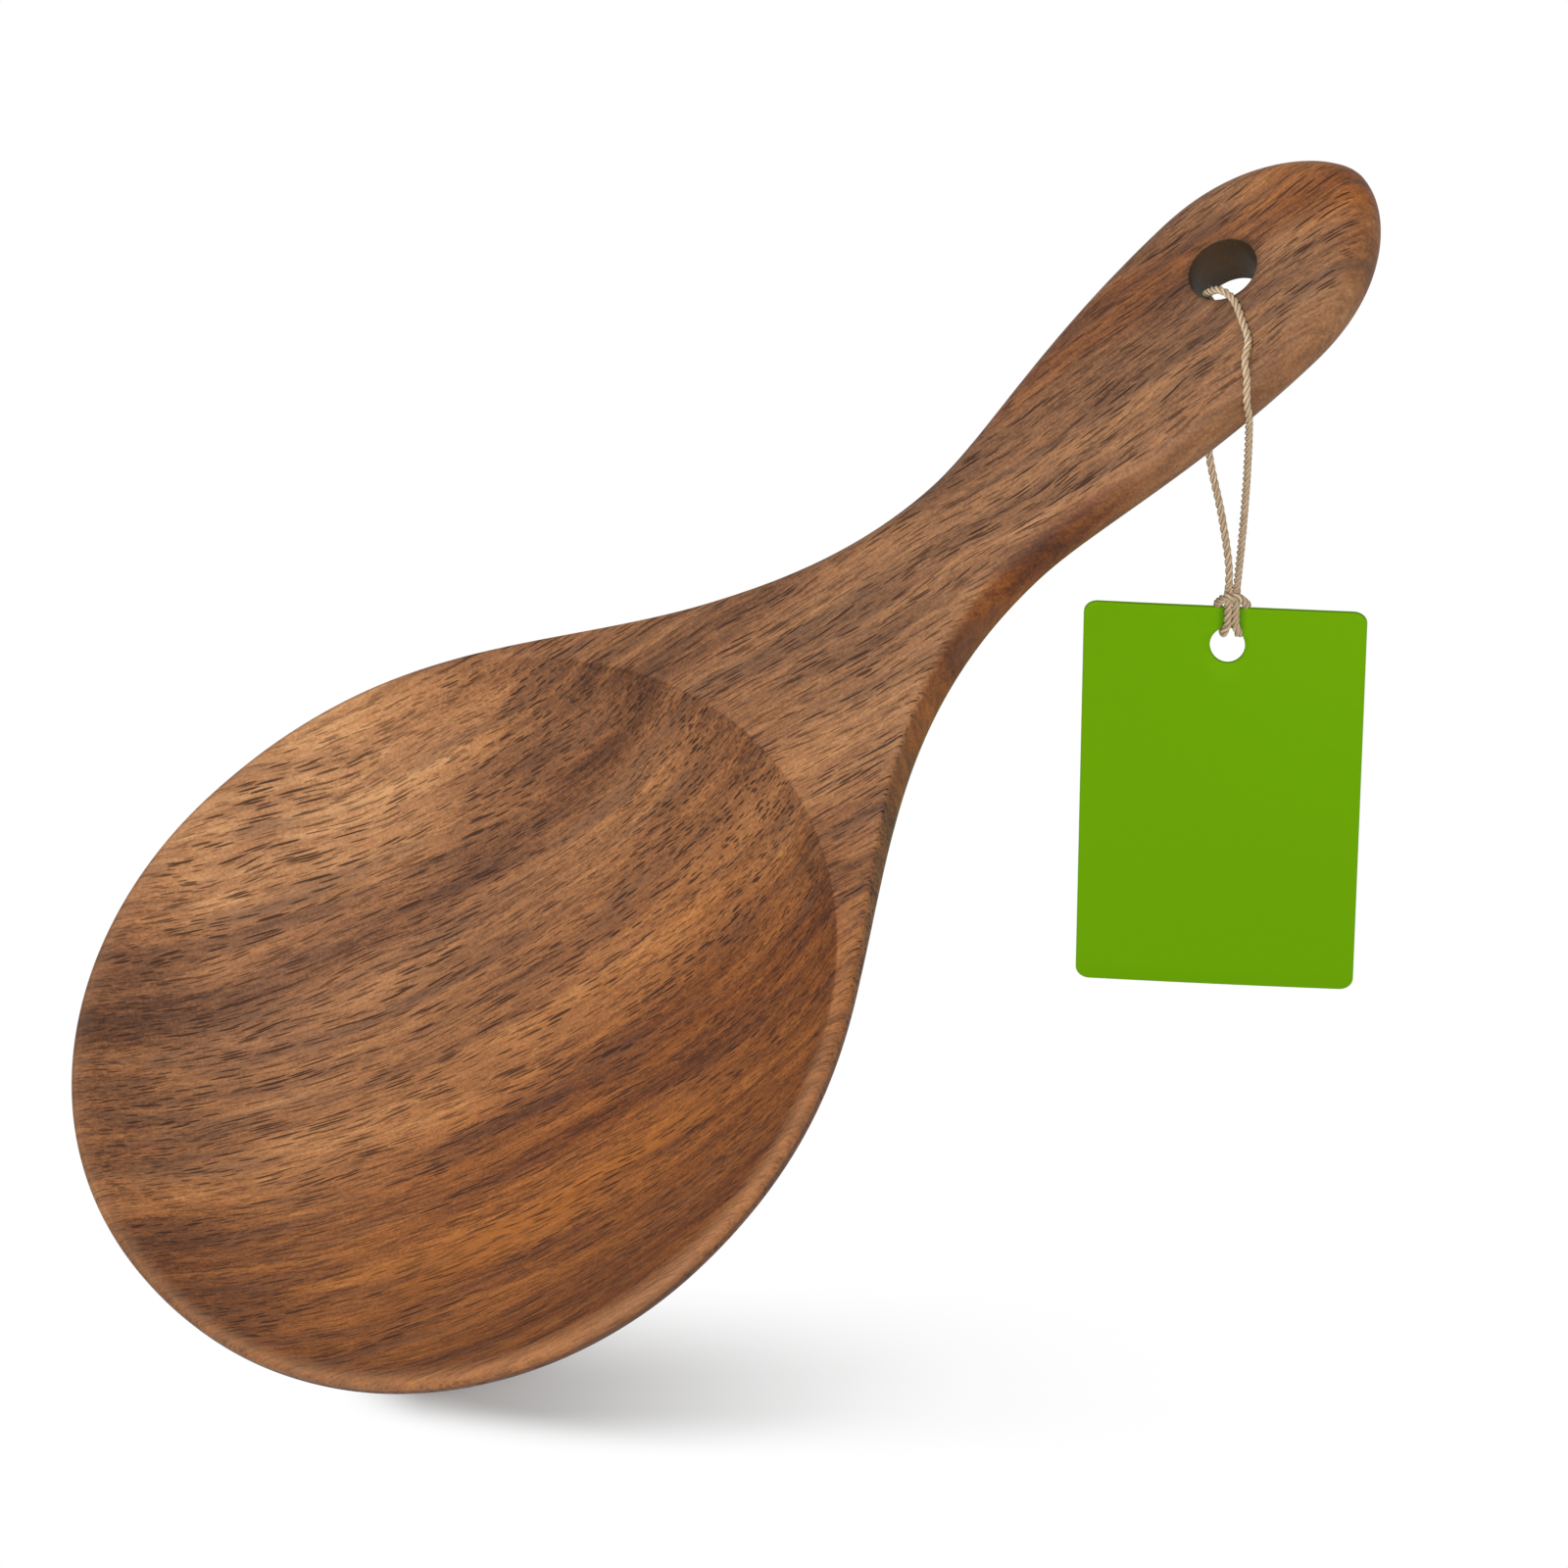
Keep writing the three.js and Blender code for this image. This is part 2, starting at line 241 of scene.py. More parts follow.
def ring_faces(count, length, first=0, closed=False):
    """Quads between rings of equal length, whose vertices follow one another."""
    faces = []
    for i in range(count if closed else count - 1):
        a = first + i * length
        b = first + (i + 1) % count * length
        for j in range(length):
            k = (j + 1) % length
            faces.append((a + j, a + k, b + k, b + j))
    return faces


def tube_faces(count, length, first=0):
    """The quads of a tube, and its two ends."""
    last = first + (count - 1) * length
    ends = [tuple(reversed(range(first, first + length))), tuple(range(last, last + length))]
    return ring_faces(count, length, first) + ends


def tidy_skin(piece, merge=1e-7):
    """Joins the vertices that lie on each other, turns the faces outwards and shades them smooth."""
    shape = bmesh.new()
    shape.from_mesh(piece.data)
    bmesh.ops.remove_doubles(shape, verts=shape.verts, dist=merge)
    bmesh.ops.dissolve_degenerate(shape, edges=shape.edges, dist=merge)
    bmesh.ops.recalc_face_normals(shape, faces=shape.faces)
    for face in shape.faces:
        face.smooth = True
    shape.to_mesh(piece.data)
    shape.free()


def reach_along(path):
    """How far along a path each of its points lies."""
    return np.concatenate([[0], np.cumsum(np.linalg.norm(np.diff(path, axis=0), axis=1))])


def path_length(path):
    return float(reach_along(path)[-1])


def points_at(path, places):
    """The points at these distances along a path."""
    reach = reach_along(path)
    return np.stack([np.interp(places, reach, column) for column in path.T], axis=1)


def smooth_path(points):
    """Even steps of the twine along a smooth curve through the points."""
    steps_between = 40
    points = np.array(points, float)
    ends = [2 * points[0] - points[1], 2 * points[-1] - points[-2]]
    p = np.vstack([ends[0], points, ends[1]])
    knots = np.concatenate([[0], np.cumsum(np.sqrt(np.linalg.norm(np.diff(p, axis=0), axis=1)))])
    fine = []

    def between(t, low, high, before, after):
        return (high - t) / (high - low) * before + (t - low) / (high - low) * after

    for i in range(1, len(p) - 2):
        t0, t1, t2, t3 = knots[i - 1 : i + 3]
        t = np.linspace(t1, t2, steps_between, endpoint=False)[:, None]
        a1 = between(t, t0, t1, p[i - 1], p[i])
        a2 = between(t, t1, t2, p[i], p[i + 1])
        a3 = between(t, t2, t3, p[i + 1], p[i + 2])
        b1 = between(t, t0, t2, a1, a2)
        b2 = between(t, t1, t3, a2, a3)
        fine.append(between(t, t1, t2, b1, b2))
    fine = np.vstack([*fine, points[-1:]])
    length = path_length(fine)
    count = max(2, round(length / (TWINE_STEP * MM)) + 1)
    return points_at(fine, np.linspace(0, length, count))


def path_frames(path):
    """Two directions square to the path at each point, which turn as little as they can."""
    any_direction = (0.3, 0.9, 0.2)
    tangents = np.gradient(path, axis=0)
    tangents /= np.linalg.norm(tangents, axis=1)[:, None]
    start = np.cross(tangents[0], any_direction)
    sides = [start / np.linalg.norm(start)]
    for tangent in tangents[1:]:
        side = sides[-1] - tangent * (sides[-1] @ tangent)
        sides.append(side / np.linalg.norm(side))
    sides = np.array(sides)
    return sides, np.cross(tangents, sides)


# Spoon


def bezier(points, steps):
    a, b, c, d = (np.array(p) for p in points)
    t = np.linspace(0, 1, steps)[:, None]
    return a * (1 - t) ** 3 + 3 * b * t * (1 - t) ** 2 + 3 * c * t**2 * (1 - t) + d * t**3


def half_outline():
    """The edge of the spoon from its tip to its end, as lengths along and distances aside."""
    steps = 400
    stations = [
        (BOWL_WIDEST_AT, BOWL_WIDTH / 2, BOWL_REACH, SHOULDER_REACH),
        (NECK_AT, NECK_WIDTH / 2, NECK_REACH, GRIP_START_REACH),
        (GRIP_WIDEST_AT, GRIP_WIDTH / 2, GRIP_SWELL_REACH, END_REACH),
    ]
    points = [(0, 0), (0, TIP_REACH)]
    for at, half, before, after in stations:
        points += [(at - before, half), (at, half), (at + after, half)]
    points += [(SPOON_LENGTH, END_ROUND_REACH), (SPOON_LENGTH, 0)]
    stretches = [bezier(points[i : i + 4], steps)[1:] for i in range(0, len(points) - 1, 3)]
    return np.vstack([points[:1], *stretches])


EDGE = half_outline()


def half_width_at(along):
    return np.interp(along, EDGE[:, 0], EDGE[:, 1])


def lean_at(along):
    """How far the bowl lies to one side of the handle's line."""
    return BOWL_ASIDE * (1 - ease(along, *LEAN_ENDS))


def rim_at(along):
    return mix(TIP_RIM, SIDE_RIM, ease(along, 0.0, SIDE_RIM_FROM))


def front_round_at(along):
    bowl = mix(RIM_ROUND, SHOULDER_ROUND, ease(along, *SHOULDER_SHARPENS))
    return mix(bowl, GRIP_FRONT_ROUND, ease(along, *EDGE_SOFTENS))


def side_at(along):
    """How far under the front face the spoon is widest."""
    handle = ease(along, NECK_BLEND_START, BACK_FAIRED_AT)
    widest = mix(rim_at(along), HANDLE_THICKNESS / 2, handle)
    return np.maximum(widest, front_round_at(along)) + WALL_UNDER_ROUND


def back_depth_at(along):
    before = np.clip((BOWL_DEEPEST_AT - along) / BOWL_DEEPEST_AT, 0, 1)
    bowl = mix(rim_at(along), BOWL_DEPTH, np.sqrt(1 - before**2))
    faired = mix(BOWL_DEPTH, HANDLE_THICKNESS, ease(along, BOWL_DEEPEST_AT, BACK_FAIRED_AT))
    return np.where(along < BOWL_DEEPEST_AT, bowl, faired)


def out_of_hollow(along, aside):
    """0 in the middle of the dish and 1 at its edge, an ellipse that is fuller towards the tip."""
    out_along = np.abs(along - HOLLOW_AT) / (HOLLOW_LENGTH / 2)
    out_aside = np.abs(aside - HOLLOW_ASIDE) / (HOLLOW_WIDTH / 2)
    power = np.where(along < HOLLOW_AT, HOLLOW_TIP_SQUARENESS, 2.0)
    return (out_along**power + out_aside**power) ** (1 / power)


def hollow_depth_at(along, aside):
    """How deep the dish is, with its edge eased: hardly at the neck, more round the lip."""
    raw = HOLLOW_DEPTH * (1 - out_of_hollow(along, aside) ** HOLLOW_FLATNESS)
    half = mix(LIP_EASE, NECK_EDGE_EASE, ease(along, *NECK_EDGE_SHARPENS))
    eased = (raw + half) ** 2 / (4 * half)
    return np.where(raw > half, raw, np.where(raw < -half, 0.0, eased))


def spine_at(along):
    """Where on the middle line the mesh's spokes from the edge at this length end."""
    hub, hub_until, straight_from = 49.0, 38.0, 132.0
    straight_until, end_hub = 190.0, 198.5

    def curve(t, start, end, slope_start, slope_end):
        a = (2 * t**3 - 3 * t**2 + 1) * start + (t**3 - 2 * t**2 + t) * slope_start
        return a + (3 * t**2 - 2 * t**3) * end + (t**3 - t**2) * slope_end

    t = np.clip((along - hub_until) / (straight_from - hub_until), 0, 1)
    bowl = curve(t, hub, straight_from, 0.0, straight_from - hub_until)
    t = np.clip((along - straight_until) / (SPOON_LENGTH - straight_until), 0, 1)
    end = curve(t, straight_until, end_hub, SPOON_LENGTH - straight_until, 0.0)
    return np.where(along < straight_from, bowl, np.where(along < straight_until, along, end))


def spoon_edge(count):
    """Even steps all round the spoon's edge, and the directions that point inwards from it."""
    loop = np.vstack([EDGE, EDGE[-2::-1] * (1, -1)])
    edge = points_at(loop, np.linspace(0, path_length(loop), count + 1)[:-1])
    tangent = np.roll(edge, -1, axis=0) - np.roll(edge, 1, axis=0)
    inward = np.stack([tangent[:, 1], -tangent[:, 0]], axis=1)
    return edge, inward / np.linalg.norm(inward, axis=1)[:, None]


def spoon_rings():
    """Rings from the middle of the front, over the edge and to the middle of the back."""
    around, face_steps, face_crowding = 720, 78, 0.85
    round_steps, wall_steps, back_steps = 8, 4, 26
    edge, inward = spoon_edge(around)
    along = edge[:, 0]
    front_round = front_round_at(along)
    side = side_at(along)
    spine = np.stack([spine_at(along), np.zeros(around)], axis=1)
    rings = []
    inner = edge + inward * front_round[:, None]
    for i in range(face_steps):
        share = (1 - i / face_steps) ** face_crowding
        flat = mix(inner, spine, share)
        rings.append((flat, -hollow_depth_at(*flat.T)))
    for i in range(round_steps):
        angle = math.pi / 2 * (1 - i / round_steps)
        flat = edge + inward * (front_round * (1 - math.cos(angle)))[:, None]
        fall = front_round * (1 - math.sin(angle))
        rings.append((flat, -fall - hollow_depth_at(*flat.T)))
    for i in range(wall_steps):
        rings.append((edge, -mix(front_round, side, i / wall_steps)))
    for i in range(back_steps + 1):
        share = 1 - math.cos(math.pi / 2 * i / back_steps)
        flat = mix(edge, spine, share)
        rings.append((flat, back_height(flat)))
    return rings


def distance_to_edge(flat):
    """How far points of the face lie from the spoon's edge."""
    stride, least_run = 6, 1e-12
    corners = np.vstack([EDGE[::stride], EDGE[::-stride] * (1, -1)])
    nearest = np.full(len(flat), np.inf)
    for start, end in zip(corners[:-1], corners[1:]):
        run = end - start
        share = np.clip((flat - start) @ run / max(run @ run, least_run), 0, 1)
        gap = flat - start - share[:, None] * run
        nearest = np.minimum(nearest, np.hypot(gap[:, 0], gap[:, 1]))
    return nearest


def back_height(flat):
    """The height of the back: a bowl's round over the whole width, a handle's round near its edge."""
    least_half = 1e-6
    along, aside = flat.T
    side = side_at(along)
    handle = ease(along, NECK_BLEND_START, BACK_FAIRED_AT)
    half = np.maximum(half_width_at(along), least_half)
    bowl_out = np.clip(np.abs(aside) / half, 0, 1)
    handle_out = 1 - np.clip(distance_to_edge(flat) / GRIP_BACK_ROUND, 0, 1)
    out = mix(bowl_out, handle_out, handle)
    fullness = mix(BACK_FULLNESS, HANDLE_FULLNESS, handle)
    return -side - (back_depth_at(along) - side) * (1 - out**2) ** fullness


def hole_cutter():
    """A drill whose shape opens out in a round at both faces of the handle."""
    sides, round_steps, reach = 64, 7, 2.0
    mouth = BORE + HOLE_RIM_ROUND
    profile = [(mouth, reach)]
    for i in range(round_steps + 1):
        angle = math.pi / 2 * i / round_steps
        profile.append((mouth - HOLE_RIM_ROUND * math.sin(angle), -HOLE_RIM_ROUND * (1 - math.cos(angle))))
    profile += [(r, -HANDLE_THICKNESS - h) for r, h in reversed(profile)]
    turns = np.linspace(0, 2 * math.pi, sides, endpoint=False)
    points = []
    for radius, above in profile:
        along = HOLE_AT + HOLE_LEAN_ALONG * above + radius * np.cos(turns)
        aside = HOLE_ASIDE + HOLE_LEAN_ASIDE * above + radius * np.sin(turns)
        points.append(on_spoon(along, aside, above))
    cutter = add_mesh("drill", np.vstack(points), tube_faces(len(profile), sides))
    tidy_skin(cutter)
    return cutter


def sharpen_neck_edge(blank):
    """Divides the mesh along the dish's edge at the neck, and puts the new points on the true surface."""
    half_band, starts_at, lowest = 0.03, 74.0, -2.2
    clear_of_side = 2.5 * SHOULDER_ROUND
    shape = bmesh.new()
    shape.from_mesh(blank.data)

    def measures():
        points = np.array([vertex.co for vertex in shape.verts]) / MM
        along = points @ ALONG + GRIP_AT
        aside = points @ ASIDE - lean_at(along)
        above = points @ FRONT - FACE_ABOVE_GRIP
        near_edge = np.abs(out_of_hollow(along, aside) - 1) < half_band
        inside = half_width_at(along) - np.abs(aside) > clear_of_side
        at_neck = (along > starts_at) & (above > lowest)
        return along, aside, above, near_edge & inside & at_neck

    near = measures()[-1]
    edges = [edge for edge in shape.edges if all(near[vertex.index] for vertex in edge.verts)]
    bmesh.ops.subdivide_edges(shape, edges=edges, cuts=3, use_grid_fill=True)
    along, aside, above, near = measures()
    true = on_spoon(along, aside + lean_at(along), -hollow_depth_at(along, aside))
    for vertex, place, moves in zip(shape.verts, true, near):
        if moves:
            vertex.co = place
    shape.to_mesh(blank.data)
    shape.free()


def carve_spoon():
    rings = spoon_rings()
    points = []
    for flat, above in rings:
        along, aside = flat.T
        points.append(on_spoon(along, aside + lean_at(along), above))
    blank = add_mesh("spoon_blank", np.vstack(points), ring_faces(len(rings), len(rings[0][0])))
    tidy_skin(blank, merge=2e-6)
    sharpen_neck_edge(blank)
    drill = hole_cutter()
    cut = blank.modifiers.new("hanging_hole", "BOOLEAN")
    cut.operation = "DIFFERENCE"
    cut.solver = "EXACT"
    cut.object = drill
    evaluated = blank.evaluated_get(bpy.context.evaluated_depsgraph_get())
    spoon = put("carved_spoon", bpy.data.meshes.new_from_object(evaluated))
    bpy.data.objects.remove(blank)
    bpy.data.objects.remove(drill)
    tidy_skin(spoon)
    return spoon


# Twine


def lay_twine(name, path, seed, swell=1.0):
    """Twisted plies along a path, with a few loose fibres."""
    sides = 8
    side, over = path_frames(path)
    reach = reach_along(path) / MM
    ply_radius = PLY_SHARE * TWINE_DIAMETER * swell * MM
    offset = PLY_OFFSET_SHARE * TWINE_DIAMETER * swell * MM
    turns = np.linspace(0, 2 * math.pi, sides, endpoint=False)
    vertices, faces, places = [], [], []
    for ply in range(TWINE_PLIES):
        angle = 2 * math.pi * (reach / TWINE_PITCH + ply / TWINE_PLIES)
        centre = path + offset * (np.cos(angle)[:, None] * side + np.sin(angle)[:, None] * over)
        first = len(vertices)
        for i, middle in enumerate(centre):
            for turn in turns:
                out = math.cos(turn + angle[i]) * side[i] + math.sin(turn + angle[i]) * over[i]
                vertices.append(middle + ply_radius * out)
                places.append((reach[i], turn / (2 * math.pi) + ply, ply))
        faces += tube_faces(len(path), sides, first)
    add_fibres(vertices, faces, places, path, side, over, seed)
    twine = add_mesh(name, vertices, faces)
    twine.data.attributes.new("fibre_place", "FLOAT_VECTOR", "POINT")
    twine.data.attributes["fibre_place"].data.foreach_set("vector", np.ravel(places))
    for face in twine.data.polygons:
        face.use_smooth = True
    return twine


def add_fibres(vertices, faces, places, path, side, over, seed):
    """Thin hairs that stand out of the twine and bend along it."""
    draw = random.Random(seed)
    spacing, steps, sides = 6, 4, 3
    hair_radius, shortest, longest = 0.018, 0.35, 1.1
    root_share, least_lean, most_lean = 0.42, 0.4, 1.2
    curl, taper = 0.6, 0.75
    for i in range(spacing, len(path) - spacing, spacing):
        angle = draw.uniform(0, 2 * math.pi)
        out = math.cos(angle) * side[i] + math.sin(angle) * over[i]
        run = path[i + 1] - path[i]
        run = run / np.linalg.norm(run) * draw.choice((-1, 1))
        length = draw.uniform(shortest, longest) * MM
        lean = draw.uniform(least_lean, most_lean)
        root = path[i] + out * (root_share * TWINE_DIAMETER * MM)
        first = len(vertices)
        for k in range(steps + 1):
            share = k / steps
            middle = root + length * share * (lean * run + out * (1 - curl * share))
            radius = hair_radius * MM * (1 - taper * share)
            for j in range(sides):
                turn = 2 * math.pi * j / sides
                vertices.append(middle + radius * (math.cos(turn) * side[i] + math.sin(turn) * over[i]))
                places.append((i, 0.0, 0))
        faces += tube_faces(steps + 1, sides, first)


twine_radius = TWINE_DIAMETER / 2
twine_lift = twine_radius + SEAT_GAP
edge_at = HOLE_AT - EDGE_BEFORE


def over_edge(along, angle):
    """A point of the twine on the handle's rounded edge, from its side at 0 to its front at 90."""
    turn = math.radians(angle)
    edge_round = front_round_at(along)
    reach = edge_round + twine_lift
    inwards = edge_round - reach * math.cos(turn)
    return on_spoon(along, inwards - half_width_at(along), reach * math.sin(turn) - edge_round)


def from_hole(along, aside, above):
    """A point counted from the middle of the hanging hole."""
    return on_spoon(HOLE_AT + along, HOLE_ASIDE + aside, above)


front_support = over_edge(edge_at, -4.0)
back_support = from_hole(-BORE - BACK_HANG_OUT, -BACK_HANG_ASIDE, -HANDLE_THICKNESS - BACK_HANG_BELOW)

hole_turn = [
    over_edge(edge_at + 0.4, 12.0),
    over_edge(edge_at + 1.3, 30.0),
    over_edge(edge_at + 2.8, 52.0),
    over_edge(edge_at + 4.2, 76.0),
    from_hole(-5.2, -11.9, twine_lift),
    from_hole(-3.5, -8.4, twine_lift),
    from_hole(-2.6, -6.3, twine_lift),
    from_hole(-2.2, -4.3, twine_lift - 0.05),
    from_hole(-2.4, -2.5, 0.3),
    from_hole(-2.8, -1.1, -0.6),
    from_hole(-3.3, 0.6, -2.2),
    from_hole(-3.1, 1.7, -4.0),
    from_hole(-3.6, 0.8, 2.0 - HANDLE_THICKNESS),
    from_hole(0.5 - BORE, -0.1, 0.3 - HANDLE_THICKNESS),
    from_hole(-0.1 - BORE, -BACK_HANG_ASIDE, -0.7 - HANDLE_THICKNESS),
]


# Tag: its own frame has x across, y up and z to the front, from the middle of its hole

joints = {joint["name"]: joint for joint in frame["record"]["behaviour"]["joints"]}
tag_hangs = np.array(joints["tag_flap"]["pos_m"])
front_lay = TAG_THICKNESS / 2 + twine_lift
strand_aside = twine_radius
over_top = TAG_HOLE_FROM_TOP + twine_lift
strands_meet = TAG_HOLE_FROM_TOP + STRANDS_MEET_OVER_TOP


def tag_turn():
    facing = Matrix.Rotation(math.radians(TAG_FACING), 3, "Z")
    upright = Matrix.Rotation(math.radians(90 - TAG_LEAN), 3, "X")
    turn = np.array(facing @ upright)
    hole = tag_hangs - MM * turn @ np.array((HINGE_ASIDE, HINGE_OVER_HOLE, HINGE_BEFORE_CARD))
    return turn, hole


TAG_AXES, TAG_HOLE = tag_turn()


def on_tag(points):
    """Points of the tag's own frame, in the frame."""
    return TAG_HOLE + MM * np.array(points, float) @ TAG_AXES.T


def tag_outline():
    """The card's edge with its rounded corners, as points and the directions that point inwards."""
    corner_steps, side_steps = 8, 14
    half, top, low = TAG_WIDTH / 2, TAG_HOLE_FROM_TOP, TAG_HOLE_FROM_TOP - TAG_HEIGHT
    left, right = TAG_CORNER - half - TAG_HOLE_ASIDE, half - TAG_CORNER - TAG_HOLE_ASIDE
    middles = [
        (right, low + TAG_CORNER, -90),
        (right, top - TAG_CORNER, 0),
        (left, top - TAG_CORNER, 90),
        (left, low + TAG_CORNER, 180),
    ]
    corners = []
    for x, y, start in middles:
        angles = np.radians(np.linspace(start, start + 90, corner_steps))
        out = np.stack([np.cos(angles), np.sin(angles)], axis=1)
        corners.append((np.array((x, y)) + TAG_CORNER * out, out))
    shares = np.linspace(0, 1, side_steps + 2)[1:-1, None]
    points, outward = [], []
    for i, (arc, out) in enumerate(corners):
        next_arc = corners[(i + 1) % len(corners)][0]
        points += [arc, mix(arc[-1], next_arc[0], shares)]
        outward += [out, np.repeat(out[-1:], side_steps, axis=0)]
    return np.vstack(points), -np.vstack(outward)


def cut_tag():
    """The card as one skin: out over the front from its hole, round its edge and back over the back."""
    face_steps, round_steps = 16, 3
    edge, inward = tag_outline()
    direction = edge / np.linalg.norm(edge, axis=1)[:, None]
    hole = direction * (TAG_HOLE_WIDTH / 2, TAG_HOLE_HEIGHT / 2)
    half = TAG_THICKNESS / 2
    flat_half = half - TAG_EDGE_ROUND
    inner = hole + direction * TAG_EDGE_ROUND
    outer = edge + inward * TAG_EDGE_ROUND
    rings = []

    def add(flat, height):
        across, up = flat[:, 0] / (TAG_WIDTH / 2), flat[:, 1] / (TAG_HEIGHT / 2)
        bow = TAG_BOW_UP * up**2 - TAG_BOW_ACROSS * across**2
        past_flat = np.linalg.norm(flat, axis=1) - TAG_FLAT_UNTIL
        free = np.clip(past_flat / (TAG_BOWED_FROM - TAG_FLAT_UNTIL), 0, 1)
        rings.append(np.column_stack([flat, height + bow * free]))

    def rounded(from_front):
        for i in range(round_steps + 1):
            angle = math.pi / 2 * i / round_steps
            turn = angle if from_front else math.pi / 2 - angle
            drop = TAG_EDGE_ROUND * (1 - math.cos(turn))
            inset = TAG_EDGE_ROUND * (1 - math.sin(turn))
            height = half - drop if from_front else -half + drop
            add(edge + inward * inset, height)

    for i in range(face_steps):
        add(mix(inner, outer, i / face_steps), half)
    rounded(from_front=True)
    rounded(from_front=False)
    for i in range(face_steps):
        add(mix(outer, inner, (i + 1) / face_steps), -half)
    add(hole, -flat_half)
    add(hole, flat_half)
    points = np.vstack([on_tag(ring) for ring in rings])
    tag = add_mesh("card_tag", points, ring_faces(len(rings), len(edge), closed=True))
    tidy_skin(tag)
    return tag


def half_hitch(side):
    """One leg: down the front, in at the hole, up the back, over the top and to the bight."""
    spread, wide, top = 0.85, 1.85, TAG_HOLE_FROM_TOP
    hole_top = TAG_HOLE_HEIGHT / 2 + 0.05
    leg = [
        (strand_aside, strands_meet + 0.5, front_lay + 0.1),
        (strand_aside, over_top, front_lay + 0.05),
        (strand_aside, top - 1.0, front_lay),
        (strand_aside + 0.06, top - 2.3, front_lay),
    ]
    for share in (0, 0.25, 0.5, 0.75, 1):
        angle = math.pi * share
        drop, out = front_lay * math.sin(angle), front_lay * math.cos(angle)
        leg.append((spread + 0.4 * share, hole_top - drop, out))
    leg += [
        (wide - 0.2, top - 1.4, -front_lay),
        (wide, top - 0.2, -front_lay * 0.85),
        (wide, over_top - 0.02, -0.05),
        (wide - 0.25, over_top + 0.75, front_lay * 0.65),
        (wide - 0.7, over_top + 1.75, front_lay + TWINE_DIAMETER * 0.4),
        (wide - 1.3, over_top + 2.4, front_lay + TWINE_DIAMETER * 0.9),
    ]
    return [(STRANDS_ASIDE + side * x, y, z) for x, y, z in leg]


def hitch_path():
    bight = [(STRANDS_ASIDE, TAG_HOLE_FROM_TOP + BIGHT_OVER_TOP, front_lay + TWINE_DIAMETER)]
    points = half_hitch(-1) + bight + half_hitch(1)[::-1]
    return smooth_path(on_tag(points))


def strand_points(top, end, bows):
    across = TAG_AXES[:, 0]
    return [mix(top, end, share) + across * bow * MM for share, bow in bows]


def loop_path():
    """From the tag up the front strand, through the handle's hole and down the back strand."""
    front_end = on_tag((STRANDS_ASIDE + strand_aside, strands_meet, front_lay + 0.1))
    back_end = on_tag((STRANDS_ASIDE - strand_aside, strands_meet, front_lay + 0.1))
    knot_end = back_support - np.array((0, 0, KNOT_LENGTH * MM))
    front_bows = [(0.7, FRONT_STRAND_BOW * 0.8), (0.3, FRONT_STRAND_BOW)]
    front = strand_points(front_support, front_end, front_bows)
    shares = [(0.18, 0.85), (0.38, 1.0), (0.68, 0.3), (0.9, -0.05)]
    back = strand_points(knot_end, back_end, [(share, -BACK_STRAND_BOW * bow) for share, bow in shares])
    points = [front_end, *front, front_support, *hole_turn, back_support, knot_end, *back, back_end]
    return smooth_path(points)


def knot_path():
    """An overhand knot round the twine, with both cut ends hanging."""
    middle = back_support - np.array((0, 0, KNOT_LENGTH / 2 * MM))
    radius, lobe, height = 0.62, 1.1, 0.868
    opening, steps = 0.35, 22
    points = [(1.3, 0.9, -6.2), (0.9, 0.7, -3.2)]
    for t in np.linspace(opening, 2 * math.pi - opening, steps):
        x = radius * (math.sin(t) + lobe * math.sin(2 * t))
        y = radius * (math.cos(t) - lobe * math.cos(2 * t))
        points.append((x, y, -height * math.sin(3 * t)))
    points += [(0.5, -0.9, -3.0), (0.9, -1.3, -5.4)]
    return smooth_path(middle + MM * np.array(points))


# Finishes


class Shade:
    """A shader socket that takes part in Python arithmetic."""

    def __init__(self, finish, socket):
        self.finish = finish
        self.socket = socket

    def __add__(self, other):
        return self.finish.math("ADD", self, other)

    def __sub__(self, other):
        return self.finish.math("SUBTRACT", self, other)

    def __rsub__(self, other):
        return self.finish.math("SUBTRACT", other, self)

    def __mul__(self, other):
        return self.finish.math("MULTIPLY", self, other)

    def __truediv__(self, other):
        return self.finish.math("DIVIDE", self, other)

    def __rtruediv__(self, other):
        return self.finish.math("DIVIDE", other, self)

    def __pow__(self, other):
        return self.finish.math("POWER", self, other)

    def __abs__(self):
        return self.finish.math("ABSOLUTE", self)

    __radd__ = __add__
    __rmul__ = __mul__


